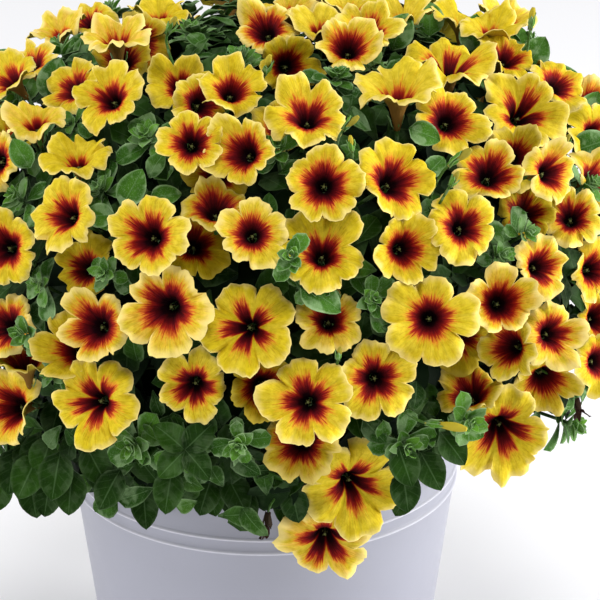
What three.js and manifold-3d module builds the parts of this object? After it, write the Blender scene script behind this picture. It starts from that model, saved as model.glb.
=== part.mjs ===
// A potted trailing petunia: a round plastic pot, the soil in it, leafy stems, and sprays of yellow
// blooms with a dark red throat. Millimetres, +Z up, the pot stands on z = 0 and faces -Y.
import * as THREE from "three";
import { mergeVertices } from "three/addons/utils/BufferGeometryUtils.js";
import Module from "manifold-3d";

const wasm = await Module();
wasm.setup();

// Pot
const POT_HEIGHT = 210;
const POT_RIM_RADIUS = 125;
const POT_BASE_RADIUS = 102;
const POT_WALL = 2.4;
const POT_FLOOR = 3;
const POT_SIDES = 32;
const RIDGE_HEIGHTS = [168, 177];
const RIDGE_OUT = 1.6;
const RIDGE_HALF = 1.8;
const BAND_RADIUS = 123.4;
const LIP_DEPTH = 7;
const LIP_WALL = 3.4;
const FOOT_CHAMFER = 2;
const RIM_CHAMFER = 1;
const DRAIN_NOTCHES = 6;
const DRAIN_WIDTH = 14;
const DRAIN_DEPTH = 9;
const DRAIN_HEIGHT = 8;

// Soil
const GAP = 0.3;
const SOIL_TOP = 195;
const HOLE_DEPTH = 28;
const HOLE_SIDES = 6;
const CUT_HEADROOM = 5;

// Crown of leaves and blooms: a round, flat-topped dome that narrows to the pot below its widest ring
const CROWN_X = 12;
const CROWN_WIDEST_Z = 308;
const CROWN_RADIUS = 208;
const CROWN_RISE = 156;
const CROWN_POWER = 3.4;
const SKIRT_RADIUS = 142;
const SKIRT_Z = 175;
const HEART = new THREE.Vector3(CROWN_X, 0, 262);

// Viewpoint that the bloom positions are read from: a square picture, x to the right and y down
const PICTURE_SIZE = 600;
const FOCAL_LENGTH = 2523.6;
const VIEW_DISTANCE = 1600;
const VIEW_ELEVATION = THREE.MathUtils.degToRad(21.7);
const VIEW_TARGET = new THREE.Vector3(22.8, 0, 284.3);
const VIEW_REACH = 430;
const SEEN_FACING = 0.16;
const PICTURE_MARGIN = 25;
const VIEW_STEP = 4;
const HALVINGS = 16;

// Bloom, as shares of its radius unless it says mm
const PETALS = 5;
const FULL_BLOOM_WIDTH = 96;
const BLOOM_DIAMETER_MIN = 42;
const BLOOM_DIAMETER_MAX = 60;
const PETAL_THICKNESS_MM = 0.9;
const TIP_RADIUS = 0.99;
const NOTCH_RADIUS = 0.8;
const SHOULDER_ANGLE_RAD = 0.3;
const RUFFLE = 0.05;
const RUFFLE_STEP = 2.4;
const THROAT_RADIUS = 0.22;
const THROAT_DEPTH = 0.3;
const PIT_DEPTH = 0.55;
const TUBE_RADIUS = 0.29;
const TUBE_DEPTH = 0.4;
const CALYX_RADIUS = 0.075;
const CALYX_DEPTH = 1.0;
const STALK_SIDES = 3;
const STALK_RADIUS_MM = 0.9;
const AXIL_DEPTH_MM = 34;
const JOINT_RADIUS_MM = 2.8;
const JOINT_RISE_MM = 3;

// Leafy stems
const STEM_COUNT = 12;
const STEM_RADIUS = 2.4;
const TRUNK_SIDES = 5;
const STEM_FOOT_RING = 58;
const STEM_BEND_RISE = 4;
const HOLE_RADIUS = 3.2;
const TRUNK_POINTS = [
  { ring: STEM_FOOT_RING, z: SOIL_TOP - HOLE_DEPTH + GAP, radius: STEM_RADIUS },
  { ring: STEM_FOOT_RING, z: SOIL_TOP + STEM_BEND_RISE, radius: STEM_RADIUS },
  { ring: 68, z: 232, radius: 2.8 },
  { ring: 84, z: 268, radius: 3.2 },
];
// The dense inner growth of a stem: a wedge, wider than its stalks and well under its leaves
const CORE_RINGS = [
  { ring: 66, z: 388 },
  { ring: 108, z: 356 },
  { ring: 122, z: 308 },
  { ring: 108, z: 258 },
  { ring: 84, z: 226 },
];
const CORE_INNER_RING = 5;
const CORE_SIDE_GAP = 0.6;
const BRANCHING = { lowest: 225, span: 60 };
const BRANCH_RADIUS = 1.2;
const BEND_STEPS = [7, 14, 24];
const TWISTS = [0, 30, 60];
const SINKS = [0, 6, 12];
const LEAF_THICKNESS = 0.8;
const ROSETTE_NOTCH = 2.6;
const ROSETTE_NECK = 4;
const SHOOT_DEPTH = 9;
const WIDE_OPENING = THREE.MathUtils.degToRad(66);
const NARROW_OPENING = THREE.MathUtils.degToRad(38);
// A leaf's outline: share of its length ahead, share of its half width across, share of its length up
const SHOOT_KIND = {
  leaves: [
    { length: 21, width: 12, opening: WIDE_OPENING },
    { length: 15, width: 9, opening: NARROW_OPENING },
    { length: 21, width: 12, opening: WIDE_OPENING },
    { length: 15, width: 9, opening: NARROW_OPENING },
  ],
  outline: [
    [0.78, -1, 0.05],
    [0.9, 0.75, 0.05],
  ],
};
const FAR_SHOOT_KIND = {
  leaves: new Array(3).fill({ length: 20, width: 12, opening: THREE.MathUtils.degToRad(60) }),
  outline: SHOOT_KIND.outline,
};
const SKIRT_OPENING = THREE.MathUtils.degToRad(80);
const SKIRT_KIND = {
  leaves: new Array(4).fill({ length: 35, width: 24, opening: SKIRT_OPENING }),
  outline: [
    [0.5, -1, 0.04],
    [1, 0, -0.08],
    [0.5, 1, 0.04],
  ],
};
const SKIRT_TILT = 0.35;
const SKIRT_ROWS = [
  { ring: 132, z: 226, offset: -0.2, kind: SKIRT_KIND },
  { ring: 158, z: 252, offset: 0.3, kind: SKIRT_KIND },
];

// Far side, filled by rule
const FAR_POINTS = 190;
const FAR_BLOOM_START = 0.4;
const FAR_SHOOT_START = 2.1;
const FAR_BLOOM_GAP = 53;
const FAR_SHOOT_GAP = 30;
const FAR_SHOOT_SPACING = 90;
const FAR_LOWEST = -0.2;
const FAR_BLOOM_DIAMETER = 52;
const FAR_SIZE_SPREAD = 0.12;
const FAR_LEAN = 0.5;
const FAR_UPWARD_LEAN = 0.6;
const FAR_SPRAY_SIZE = 4;
const FAR_SPRAY_REACH = 105;
const GOLDEN_ANGLE = Math.PI * (3 - Math.sqrt(5));
const SEED = 7;
const RANDOM_FACTOR = 1664525;
const RANDOM_STEP = 1013904223;
const RANDOM_RANGE = 2 ** 32;
// Degrees that a head is turned round its axis, by its place in the picture
const BLOOM_TURN = { byX: 7, byY: 3, full: 360 };
const SHOOT_TURN = { byX: 5, byY: 11, full: 180 };

const MERGE_MM = 1e-3;
const NEAR_VERTICAL = 0.9;

const WHITE_PLASTIC = new THREE.MeshStandardMaterial({ color: 0xe6e7ec, roughness: 0.42, metalness: 0 });
const POTTING_SOIL = new THREE.MeshStandardMaterial({ color: 0x2c2018, roughness: 0.97, metalness: 0 });
const LEAF_GREEN = new THREE.MeshStandardMaterial({ color: 0x33692e, roughness: 0.66, metalness: 0 });
const PETAL_YELLOW = new THREE.MeshStandardMaterial({ color: 0xe3c02b, roughness: 0.6, metalness: 0 });

// Sprays of blooms in the picture, the foremost first. Each bloom: centre x, y and face width in the
// picture, how far it faces right and up (0 faces the viewer), and its lift out of the crown in mm.
const SPRAYS = [
  [[430, 319, 98, 0, 0, 12], [460, 336, 86, 0.2, -0.1, -18], [500, 303, 44, 0.1, 0.1, 6]],
  [[324, 185, 88, 0, 0.05, 8], [396, 180, 94, 0.4, 0.25, 3]],
  [[246, 328, 106, -0.15, 0, 3], [193, 388, 82, -0.1, -0.25, -2], [262, 388, 60, 0.1, -0.2, -14]],
  [[165, 309, 98, -0.25, -0.1, 9], [95, 326, 78, -0.35, 0.1, 3]],
  [[93, 402, 98, -0.3, 0, 12], [74, 348, 40, -0.3, 0.3, -6]],
  [[306, 402, 98, -0.1, 0.05, 12], [298, 441, 88, -0.3, 0.1, -8]],
  [[376, 380, 88, 0.05, -0.05, 2], [330, 318, 64, 0.1, 0.3, -6]],
  [[355, 488, 106, 0.25, -0.3, 12], [325, 546, 96, 0, -0.5, 0]],
  [[503, 434, 102, 0.1, -0.4, -3], [470, 392, 58, -0.2, 0.6, -6]],
  [[322, 250, 98, 0, 0.35, 0], [252, 232, 76, 0, 0.25, 6]],
  [[147, 236, 94, -0.25, 0.1, 12], [196, 243, 60, 0.2, 0.3, -18], [215, 206, 60, 0, 0.6, -6]],
  [[62, 213, 86, -0.5, 0.25, 12], [76, 155, 66, -0.1, 0.75, 0], [82, 268, 64, -0.5, 0.1, -12]],
  [[464, 225, 82, 0.2, 0.2, 6], [490, 172, 80, 0.1, 0.4, -2], [405, 249, 60, 0.3, 0, -4]],
  [[543, 267, 72, 0.5, 0.05, 2], [596, 270, 66, 0.5, 0, 0], [600, 318, 60, 0.6, 0.1, -4],
    [527, 212, 56, 0.3, 0.3, -15]],
  [[555, 333, 76, 0.45, 0.1, 4], [508, 347, 66, -0.6, 0, 6], [545, 380, 62, 0.2, -0.5, -4]],
  [[308, 112, 86, 0.05, 0.6, 12], [285, 128, 62, 0.2, 0.6, -9], [288, 66, 56, 0.2, 0, -12]],
  [[108, 95, 80, -0.3, 0.4, 8], [70, 85, 66, -0.5, 0.5, -4], [35, 118, 66, -0.1, 0.75, 3]],
  [[525, 112, 92, 0.3, 0.3, -6], [517, 155, 54, 0.2, 0.2, -9], [553, 172, 70, 0.6, 0.1, 12]],
  [[398, 84, 105, 0, 0.85, 12], [450, 118, 84, 0.2, 0.3, -2], [450, 58, 102, 0.05, 0.85, 2]],
  [[180, 84, 70, 0, 0.35, -6], [232, 88, 64, 0.15, 0.5, 12], [203, 102, 54, 0.4, 0.2, -3]],
  [[191, 142, 68, 0, 0.2, 12], [243, 152, 76, -0.35, 0.2, 6], [218, 172, 54, 0, 0.2, -15]],
  [[572, 215, 72, 0, 0.35, -2], [597, 180, 60, 0.7, 0.2, -4]],
  [[2, 248, 88, -0.3, 0, 4], [5, 325, 66, -0.4, 0.2, 3], [25, 360, 60, -0.1, 0.85, -4]],
  [[9, 408, 92, -0.55, 0, 4], [-34, 372, 80, -0.7, 0.1, 0]],
  [[602, 362, 60, 0.6, 0, 6], [628, 332, 76, 0.75, 0, 2]],
  [[8, 140, 60, -0.3, 0.6, -12], [-8, 160, 70, -0.5, 0.1, 4], [8, 76, 60, -0.5, 0.6, 6]],
  [[590, 103, 60, 0.4, 0.5, 0], [560, 82, 60, 0.5, 0.5, -2], [598, 133, 66, 0.5, 0, 0]],
  [[115, 33, 80, -0.1, 0.85, 9], [143, 42, 56, 0.6, 0, -12], [122, 58, 52, 0, 0.5, -12],
    [160, 10, 60, 0, 0.85, -3]],
  [[58, 28, 64, -0.3, 0.8, 0], [88, 17, 60, -0.3, 0.7, -2], [28, 60, 60, -0.4, 0.7, 0]],
  [[265, 28, 58, -0.2, 0.5, -2], [290, 5, 68, 0, 0.9, -6]],
  [[320, 22, 60, 0, 0.8, -2], [348, 46, 54, 0, 0.5, 0]],
  [[368, 30, 66, 0, 0.6, 0], [402, 14, 64, -0.1, 0.85, 3], [350, 4, 70, 0, 0.9, 0]],
  [[465, 18, 80, 0.1, 0.9, 0], [492, 25, 58, 0.1, 0.8, 6], [508, 14, 56, 0.2, 0.85, -2],
    [508, 55, 60, 0.3, 0.6, -4]],
];
// Blooms below this line of the picture hang this far from the pot's axis, on stalks from above.
const HANGING = { below: 470, ring: 164, calyxBelow: 228 };

// Shoots with a rosette of leaves: x, y in the picture
const SHOOTS = [
  [60, 50], [15, 100], [70, 122], [35, 142], [150, 140], [22, 200], [103, 192],
  [190, 30], [240, 60], [295, 35], [335, 75], [375, 62], [390, 120],
  [278, 155], [528, 45], [515, 238], [290, 265], [313, 288], [370, 300], [45, 285], [110, 275], [60, 370],
  [185, 450], [445, 410], [400, 440], [560, 420], [575, 380], [110, 8], [425, 25],
  [578, 188], [495, 258], [45, 335], [240, 440], [140, 440], [20, 465],
];

const viewForward = new THREE.Vector3(0, Math.cos(VIEW_ELEVATION), -Math.sin(VIEW_ELEVATION));
const viewUp = new THREE.Vector3(0, Math.sin(VIEW_ELEVATION), Math.cos(VIEW_ELEVATION));
const viewRight = new THREE.Vector3(1, 0, 0);
const viewBack = viewForward.clone().negate();
const eye = VIEW_TARGET.clone().addScaledVector(viewForward, -VIEW_DISTANCE);

// Seeded uniform numbers from 0 to 1.
function makeRandom(seed) {
  let state = seed >>> 0;
  return () => {
    state = (Math.imul(state, RANDOM_FACTOR) + RANDOM_STEP) >>> 0;
    return state / RANDOM_RANGE;
  };
}

function solidOf(geometry) {
  const bare = geometry.clone();
  bare.deleteAttribute("normal");
  bare.deleteAttribute("uv");
  const merged = mergeVertices(bare, MERGE_MM);
  return new wasm.Manifold(
    new wasm.Mesh({
      numProp: 3,
      vertProperties: merged.attributes.position.array,
      triVerts: new Uint32Array(merged.index.array),
    }),
  );
}

function meshOf(solid, name, material) {
  const data = solid.getMesh();
  const geometry = new THREE.BufferGeometry();
  const positions = new Float32Array(data.numVert * 3);
  for (let i = 0; i < data.numVert; i += 1) {
    positions.set(data.vertProperties.subarray(i * data.numProp, i * data.numProp + 3), i * 3);
  }
  geometry.setAttribute("position", new THREE.BufferAttribute(positions, 3));
  geometry.setIndex(new THREE.BufferAttribute(new Uint32Array(data.triVerts), 1));
  const flat = geometry.toNonIndexed();
  flat.computeVertexNormals();
  const mesh = new THREE.Mesh(flat, material);
  mesh.name = name;
  return mesh;
}

function union(solids) {
  return solids.reduce((whole, piece) => whole.add(piece));
}

function largestBody(solid) {
  const bodies = solid.decompose();
  return bodies.reduce((best, body) => (body.volume() > best.volume() ? body : best));
}

// Skins a row of rings, each one a loop of points or a single point, into one closed solid. Loops
// turn counter-clockwise seen from the side that the row starts on.
function loft(rings) {
  const positions = [];
  const starts = rings.map((ring) => {
    const start = positions.length / 3;
    ring.forEach((point) => positions.push(point.x, point.y, point.z));
    return start;
  });
  const triangles = [];
  const at = (r, i) => starts[r] + (i % rings[r].length);
  for (let r = 0; r + 1 < rings.length; r += 1) {
    const m = rings[r].length;
    const n = rings[r + 1].length;
    let i = 0;
    let j = 0;
    while ((m > 1 && i < m) || (n > 1 && j < n)) {
      const stepFirst = n === 1 || (m > 1 && i < m && (j >= n || (i + 0.5) / m < (j + 0.5) / n));
      if (stepFirst) {
        triangles.push(at(r, i), at(r + 1, j), at(r, i + 1));
        i += 1;
      } else {
        triangles.push(at(r, i), at(r + 1, j), at(r + 1, j + 1));
        j += 1;
      }
    }
  }
  [0, rings.length - 1].forEach((r) => {
    for (let i = 1; i + 1 < rings[r].length; i += 1) {
      const [a, b, c] = [at(r, 0), at(r, i), at(r, i + 1)];
      triangles.push(...(r === 0 ? [a, b, c] : [a, c, b]));
    }
  });
  const geometry = new THREE.BufferGeometry();
  geometry.setAttribute("position", new THREE.Float32BufferAttribute(positions, 3));
  geometry.setIndex(triangles);
  return solidOf(geometry);
}

// Two directions square to an axis; side x lift = axis.
function squareTo(axis) {
  const helper = Math.abs(axis.z) > NEAR_VERTICAL ? new THREE.Vector3(0, 1, 0) : new THREE.Vector3(0, 0, 1);
  const side = new THREE.Vector3().crossVectors(helper, axis).normalize();
  const lift = new THREE.Vector3().crossVectors(axis, side);
  return { side, lift };
}

function ringAround(centre, { side, lift }, radius, sides, start = 0) {
  return Array.from({ length: sides }, (_, i) => {
    const angle = start + (2 * Math.PI * i) / sides;
    return centre
      .clone()
      .addScaledVector(side, radius * Math.cos(angle))
      .addScaledVector(lift, radius * Math.sin(angle));
  });
}

function bendFrame({ side, lift }, from, to) {
  const bend = new THREE.Quaternion().setFromUnitVectors(from, to);
  return { side: side.clone().applyQuaternion(bend), lift: lift.clone().applyQuaternion(bend) };
}

// Rings along a line of points, with a radius at each; they turn with its bends. The axis that the
// first ring's frame is square to may be given.
function ringsAlong(points, radii, sides, firstAxis = null, start = 0) {
  const last = points.length - 1;
  const axes = points.map((_, i) =>
    points[Math.max(0, i - 1)].clone().sub(points[Math.min(last, i + 1)]).normalize(),
  );
  let axis = firstAxis ?? axes[0];
  let frame = squareTo(axis);
  return points.map((point, i) => {
    frame = bendFrame(frame, axis, axes[i]);
    axis = axes[i];
    return ringAround(point, frame, radii[i], sides, start);
  });
}

function limb(points, radii, sides) {
  return loft(ringsAlong(points, radii, sides));
}

function crownRadiusAt(z, grow) {
  if (z >= CROWN_WIDEST_Z) {
    const rise = (z - CROWN_WIDEST_Z) / (CROWN_RISE + grow);
    return rise >= 1 ? 0 : (CROWN_RADIUS + grow) * (1 - rise ** CROWN_POWER) ** (1 / CROWN_POWER);
  }
  const drop = Math.min(1, (CROWN_WIDEST_Z - z) / (CROWN_WIDEST_Z - SKIRT_Z));
  return SKIRT_RADIUS + (CROWN_RADIUS - SKIRT_RADIUS) * Math.sqrt(1 - drop * drop) + grow;
}

function inCrown(point, grow) {
  return Math.hypot(point.x - CROWN_X, point.y) < crownRadiusAt(point.z, grow);
}

// First point of a line of sight, by picture position, that is on the crown grown by lift.
function seenOnCrown(x, y, lift) {
  const half = PICTURE_SIZE / 2;
  const sight = viewForward
    .clone()
    .addScaledVector(viewRight, (x - half) / FOCAL_LENGTH)
    .addScaledVector(viewUp, (half - y) / FOCAL_LENGTH)
    .normalize();
  const along = (distance) => eye.clone().addScaledVector(sight, distance);
  const isHanging = y > HANGING.below;
  const isInside = (point) =>
    isHanging ? Math.hypot(point.x, point.y) < HANGING.ring + lift : inCrown(point, lift);
  let near = VIEW_DISTANCE - VIEW_REACH;
  let best = along(VIEW_DISTANCE);
  let bestMiss = Infinity;
  for (; near < VIEW_DISTANCE + VIEW_REACH; near += VIEW_STEP) {
    const point = along(near);
    if (isInside(point)) {
      let outside = near - VIEW_STEP;
      let inside = near;
      for (let i = 0; i < HALVINGS; i += 1) {
        const middle = (outside + inside) / 2;
        if (isInside(along(middle))) inside = middle;
        else outside = middle;
      }
      return along(inside);
    }
    const miss = Math.max(
      Math.hypot(point.x - CROWN_X, point.y) / CROWN_RADIUS,
      (point.z - CROWN_WIDEST_Z) / CROWN_RISE,
    );
    if (miss < bestMiss) {
      bestMiss = miss;
      best = point;
    }
  }
  return best;
}

function pictureOf(point) {
  const offset = point.clone().sub(eye);
  const depth = offset.dot(viewForward);
  const half = PICTURE_SIZE / 2;
  return {
    x: half + (FOCAL_LENGTH * offset.dot(viewRight)) / depth,
    y: half - (FOCAL_LENGTH * offset.dot(viewUp)) / depth,
    depth,
  };
}

function turnAt(x, y, { byX, byY, full }) {
  return (x * byX + y * byY) % full;
}

function bloomInPicture([x, y, width, right, up, lift]) {
  const centre = seenOnCrown(x, y, lift);
  const facing = viewBack
    .clone()
    .multiplyScalar(Math.sqrt(Math.max(0, 1 - right * right - up * up)))
    .addScaledVector(viewRight, right)
    .addScaledVector(viewUp, up)
    .normalize();
  const measured = (width * pictureOf(centre).depth) / FOCAL_LENGTH;
  const diameter = THREE.MathUtils.clamp(measured, BLOOM_DIAMETER_MIN, BLOOM_DIAMETER_MAX);
  const turn = turnAt(x, y, BLOOM_TURN);
  return { centre, facing, radius: diameter / 2, turn, isFull: width >= FULL_BLOOM_WIDTH, isFar: false };
}

// Directions spread evenly over a sphere, from the top down.
function spreadDirections(count, turn) {
  return Array.from({ length: count }, (_, i) => {
    const z = 1 - (2 * (i + 0.5)) / count;
    const ring = Math.sqrt(1 - z * z);
    const angle = i * GOLDEN_ANGLE + turn;
    return new THREE.Vector3(ring * Math.cos(angle), ring * Math.sin(angle), z);
  });
}

function crownPointTowards(direction) {
  const start = new THREE.Vector3(CROWN_X, 0, CROWN_WIDEST_Z);
  let inside = 0;
  let outside = 2 * CROWN_RADIUS;
  for (let i = 0; i < HALVINGS; i += 1) {
    const middle = (inside + outside) / 2;
    if (inCrown(start.clone().addScaledVector(direction, middle), 0)) inside = middle;
    else outside = middle;
  }
  return start.addScaledVector(direction, inside);
}

function isInPicture(point) {
  const outward = point.clone().sub(HEART).normalize();
  const { x, y } = pictureOf(point);
  const isAcross = x > -PICTURE_MARGIN && x < PICTURE_SIZE + PICTURE_MARGIN;
  return outward.dot(viewBack) > SEEN_FACING && isAcross && y < PICTURE_SIZE;
}

function farBlooms(seen, random) {
  const blooms = [];
  spreadDirections(FAR_POINTS, FAR_BLOOM_START).forEach((direction) => {
    const centre = crownPointTowards(direction);
    const isClear = [...seen, ...blooms].every(
      (other) => other.centre.distanceTo(centre) > FAR_BLOOM_GAP,
    );
    if (direction.z < FAR_LOWEST || isInPicture(centre) || !isClear) return;
    const lean = new THREE.Vector3(random() - 0.5, random() - 0.5, random() * FAR_UPWARD_LEAN);
    const facing = direction.clone().addScaledVector(lean, FAR_LEAN).normalize();
    const radius = (FAR_BLOOM_DIAMETER * (1 + FAR_SIZE_SPREAD * (random() - 0.5))) / 2;
    blooms.push({ centre, facing, radius, turn: 360 * random(), isFull: false, isFar: true });
  });
  return blooms;
}

function calyxOf(bloom) {
  return bloom.centre.clone().addScaledVector(bloom.facing, -bloom.radius * CALYX_DEPTH);
}

// One bloom: five notched petals round a funnel, its tube and its stalk down to a foot.
function bloomSolid(bloom, stalkFoot, footRadius, grow) {
  const { centre, facing, radius, turn, isFull, isFar } = bloom;
  const { side, lift } = squareTo(facing);
  const place = (share, angle, height) =>
    centre
      .clone()
      .addScaledVector(side, Math.cos(angle) * (share * radius + grow))
      .addScaledVector(lift, Math.sin(angle) * (share * radius + grow))
      .addScaledVector(facing, height);
  const petalStep = (2 * Math.PI) / PETALS;
  const start = THREE.MathUtils.degToRad(turn) - petalStep / 2;
  const rimSpots = [];
  for (let petal = 0; petal < PETALS; petal += 1) {
    const notch = start + petal * petalStep;
    const wave = RUFFLE * radius * Math.cos(RUFFLE_STEP * petal + turn);
    rimSpots.push({ share: NOTCH_RADIUS, angle: notch, height: -Math.abs(wave) });
    (isFull ? [-SHOULDER_ANGLE_RAD, SHOULDER_ANGLE_RAD] : [0]).forEach((offset) => {
      const height = offset < 0 ? wave : -wave;
      rimSpots.push({ share: TIP_RADIUS, angle: notch + petalStep / 2 + offset, height });
    });
  }
  const loop = (share, height) =>
    Array.from({ length: PETALS }, (_, i) => place(share, start + petalStep * i, height));
  const rim = (extra) => rimSpots.map((spot) => place(spot.share, spot.angle, spot.height + extra));
  const calyx = calyxOf(bloom);
  const stalkAxis = calyx.clone().sub(stalkFoot).normalize();
  const foot = stalkFoot.clone().addScaledVector(stalkAxis, -grow);
  const calyxFrame = squareTo(facing);
  const stalkFrame = bendFrame(calyxFrame, facing, stalkAxis);
  const throat = loop(THROAT_RADIUS - grow / radius, grow - radius * THROAT_DEPTH);
  return loft([
    [centre.clone().addScaledVector(facing, grow - radius * PIT_DEPTH)],
    ...(isFull ? [throat] : []),
    rim(grow),
    rim(-PETAL_THICKNESS_MM - grow),
    ...(isFar ? [] : [loop(TUBE_RADIUS, -radius * TUBE_DEPTH - grow)]),
    ringAround(calyx, calyxFrame, CALYX_RADIUS * radius + 2 * grow, STALK_SIDES, start),
    ringAround(foot, stalkFrame, footRadius + 2 * grow, STALK_SIDES, start),
  ]);
}

function axilOf(blooms) {
  const middle = new THREE.Vector3();
  blooms.forEach((bloom) => middle.addScaledVector(calyxOf(bloom), 1 / blooms.length));
  const isHanging = middle.z < HANGING.calyxBelow;
  const inward = isHanging ? new THREE.Vector3(0, 0, 1) : HEART.clone().sub(middle).normalize();
  return middle.addScaledVector(inward, AXIL_DEPTH_MM);
}

// The first bloom's stalk ends thick at the axil, and the others' feet are sunk in it.
function spraySolid({ blooms, axil }, grow) {
  const [first, ...others] = blooms;
  const joint = axil.clone().addScaledVector(calyxOf(first).sub(axil).normalize(), JOINT_RISE_MM);
  return union([
    bloomSolid(first, axil, JOINT_RADIUS_MM, grow),
    ...others.map((bloom) => bloomSolid(bloom, joint, STALK_RADIUS_MM, grow)),
  ]);
}

// A rosette of leaves on its stalk: the leaves spread from its root round an axis, and the stalk
// runs from behind the root through the points given.
function rosetteSolid({ root, axis, turn, kind }, stalkPoints, grow) {
  const { side, lift } = squareTo(axis);
  const { leaves, outline } = kind;
  const step = (2 * Math.PI) / leaves.length;
  const outer = [];
  const inner = [];
  leaves.forEach(({ length, width, opening }, k) => {
    const angle = turn + k * step;
    const turned = (a) =>
      side.clone().multiplyScalar(Math.cos(a)).addScaledVector(lift, Math.sin(a));
    const radial = turned(angle);
    const tangent = turned(angle + Math.PI / 2);
    const along = radial
      .clone()
      .multiplyScalar(Math.sin(opening))
      .addScaledVector(axis, Math.cos(opening));
    const normal = axis
      .clone()
      .multiplyScalar(Math.sin(opening))
      .addScaledVector(radial, -Math.cos(opening));
    const half = LEAF_THICKNESS / 2 + grow;
    const notch = root.clone().addScaledVector(turned(angle - step / 2), ROSETTE_NOTCH + grow);
    outer.push(notch.clone().addScaledVector(axis, half));
    inner.push(notch.clone().addScaledVector(axis, -half));
    outline.forEach(([ahead, across, up]) => {
      const point = root
        .clone()
        .addScaledVector(along, ahead * (length + grow))
        .addScaledVector(tangent, across * (width / 2 + grow))
        .addScaledVector(normal, up * length);
      outer.push(point.clone().addScaledVector(normal, half));
      inner.push(point.clone().addScaledVector(normal, -half));
    });
  });
  const apex = root.clone().addScaledVector(axis, LEAF_THICKNESS + grow);
  const neck = root.clone().addScaledVector(axis, -ROSETTE_NECK);
  const points = [neck, ...stalkPoints];
  const radii = points.map(() => BRANCH_RADIUS + 2 * grow);
  return loft([
    [apex],
    outer,
    inner,
    ...ringsAlong(points, radii, STALK_SIDES, axis, turn - step / 2),
  ]);
}

// Round the pot's axis at an angle.
function ringPoint(angle, { ring, z }) {
  return new THREE.Vector3(ring * Math.cos(angle), ring * Math.sin(angle), z);
}

// Of some versions of a piece, the first that is clear of what stands, else the least in its way.
function clearest(versions, standing) {
  let best = versions[0];
  let least = Infinity;
  for (const make of versions) {
    const common = standing.intersect(make(GAP / 2)).volume();
    if (common <= 0) return make;
    if (common < least) {
      least = common;
      best = make;
    }
  }
  return best;
}

// Ways from one point to another: straight first, then over an elbow to each side.
function waysBetween(from, to) {
  const { side, lift } = squareTo(from.clone().sub(to).normalize());
  const middle = from.clone().add(to).multiplyScalar(0.5);
  const elbows = BEND_STEPS.flatMap((step) =>
    [side, lift, side.clone().negate(), lift.clone().negate()].map((way) =>
      middle.clone().addScaledVector(way, step),
    ),
  );
  return [[from, to], ...elbows.map((elbow) => [from, elbow, to])];
}

function coreSolid(angle, grow) {
  const half = Math.PI / STEM_COUNT;
  const outward = ringPoint(angle, { ring: 1, z: 0 });
  const across = ringPoint(angle + Math.PI / 2, { ring: 1, z: 0 });
  const last = CORE_RINGS.length - 1;
  return loft(
    CORE_RINGS.map(({ ring, z }, i) => {
      const height = z + (i === 0 ? grow : 0) - (i === last ? grow : 0);
      const at = (ahead, aside) =>
        outward.clone().multiplyScalar(ahead).addScaledVector(across, aside).setZ(height);
      const side = ring * Math.sin(half) - CORE_SIDE_GAP + grow;
      const out = ring * Math.cos(half);
      return [at(CORE_INNER_RING - grow, 0), at(out, -side), at(ring + grow, 0), at(out, side)];
    }),
  );
}

// One leafy stem: its trunk out of the soil, a branch to each axil, its shoots and its skirt leaves.
function leafyStem(index, targets, standing) {
  const angle = (2 * Math.PI * (index + 0.5)) / STEM_COUNT;
  const trunk = TRUNK_POINTS.map((spot) => ringPoint(angle, spot));
  const [elbow, head] = trunk.slice(-2);
  const pieces = [
    (grow) => coreSolid(angle, grow),
    (grow) => limb(trunk, TRUNK_POINTS.map(({ radius }) => radius + grow), TRUNK_SIDES),
  ];
  const grownFrom = (target) => {
    const share = THREE.MathUtils.clamp((target.z - BRANCHING.lowest) / BRANCHING.span, 0, 1);
    return elbow.clone().lerp(head, share);
  };
  targets.axils.forEach((axil) => {
    const from = grownFrom(axil);
    const short = from.clone().sub(axil).setLength(JOINT_RADIUS_MM + BRANCH_RADIUS + GAP);
    const versions = waysBetween(axil.clone().add(short), from).map((points) => {
      const radii = points.map(() => BRANCH_RADIUS);
      return (grow) => limb(points, radii.map((radius) => radius + 2 * grow), STALK_SIDES);
    });
    pieces.push(clearest(versions, standing));
  });
  const skirts = SKIRT_ROWS.map(({ ring, z, kind, offset }) => {
    const at = angle + (offset * 2 * Math.PI) / STEM_COUNT;
    const axis = ringPoint(at, { ring: 1, z: SKIRT_TILT }).normalize();
    return { root: ringPoint(at, { ring, z }), axis, turn: 0, kind };
  });
  [...targets.shoots, ...skirts].forEach((rosette) => {
    const start = grownFrom(rosette.root);
    const settled = SINKS.flatMap((sink) =>
      TWISTS.map((twist) => ({
        ...rosette,
        root: rosette.root.clone().addScaledVector(rosette.axis, -sink),
        turn: rosette.turn + THREE.MathUtils.degToRad(twist),
      })),
    );
    const heads = settled.map((head) => (grow) => rosetteSolid(head, [start], grow));
    const head = settled[heads.indexOf(clearest(heads, standing))];
    const neck = head.root.clone().addScaledVector(head.axis, -ROSETTE_NECK);
    const ways = waysBetween(neck, start).map((points) => points.slice(1));
    pieces.push(clearest(ways.map((way) => (grow) => rosetteSolid(head, way, grow)), standing));
  });
  return (grow) => union(pieces.map((make) => make(grow)));
}

function shootAt(root, turn) {
  return { root, axis: root.clone().sub(HEART).normalize(), turn, kind: SHOOT_KIND };
}

function farShoots(blooms, seenShoots, random) {
  const shoots = [];
  spreadDirections(FAR_POINTS, FAR_SHOOT_START).forEach((direction) => {
    const centre = crownPointTowards(direction);
    const isClear =
      blooms.every((bloom) => bloom.centre.distanceTo(centre) > FAR_SHOOT_GAP) &&
      [...seenShoots, ...shoots].every((other) => other.root.distanceTo(centre) > FAR_SHOOT_SPACING);
    if (direction.z < FAR_LOWEST || isInPicture(centre) || !isClear) return;
    const root = centre.addScaledVector(direction, -SHOOT_DEPTH);
    shoots.push({ ...shootAt(root, 2 * Math.PI * random()), kind: FAR_SHOOT_KIND });
  });
  return shoots;
}

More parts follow.
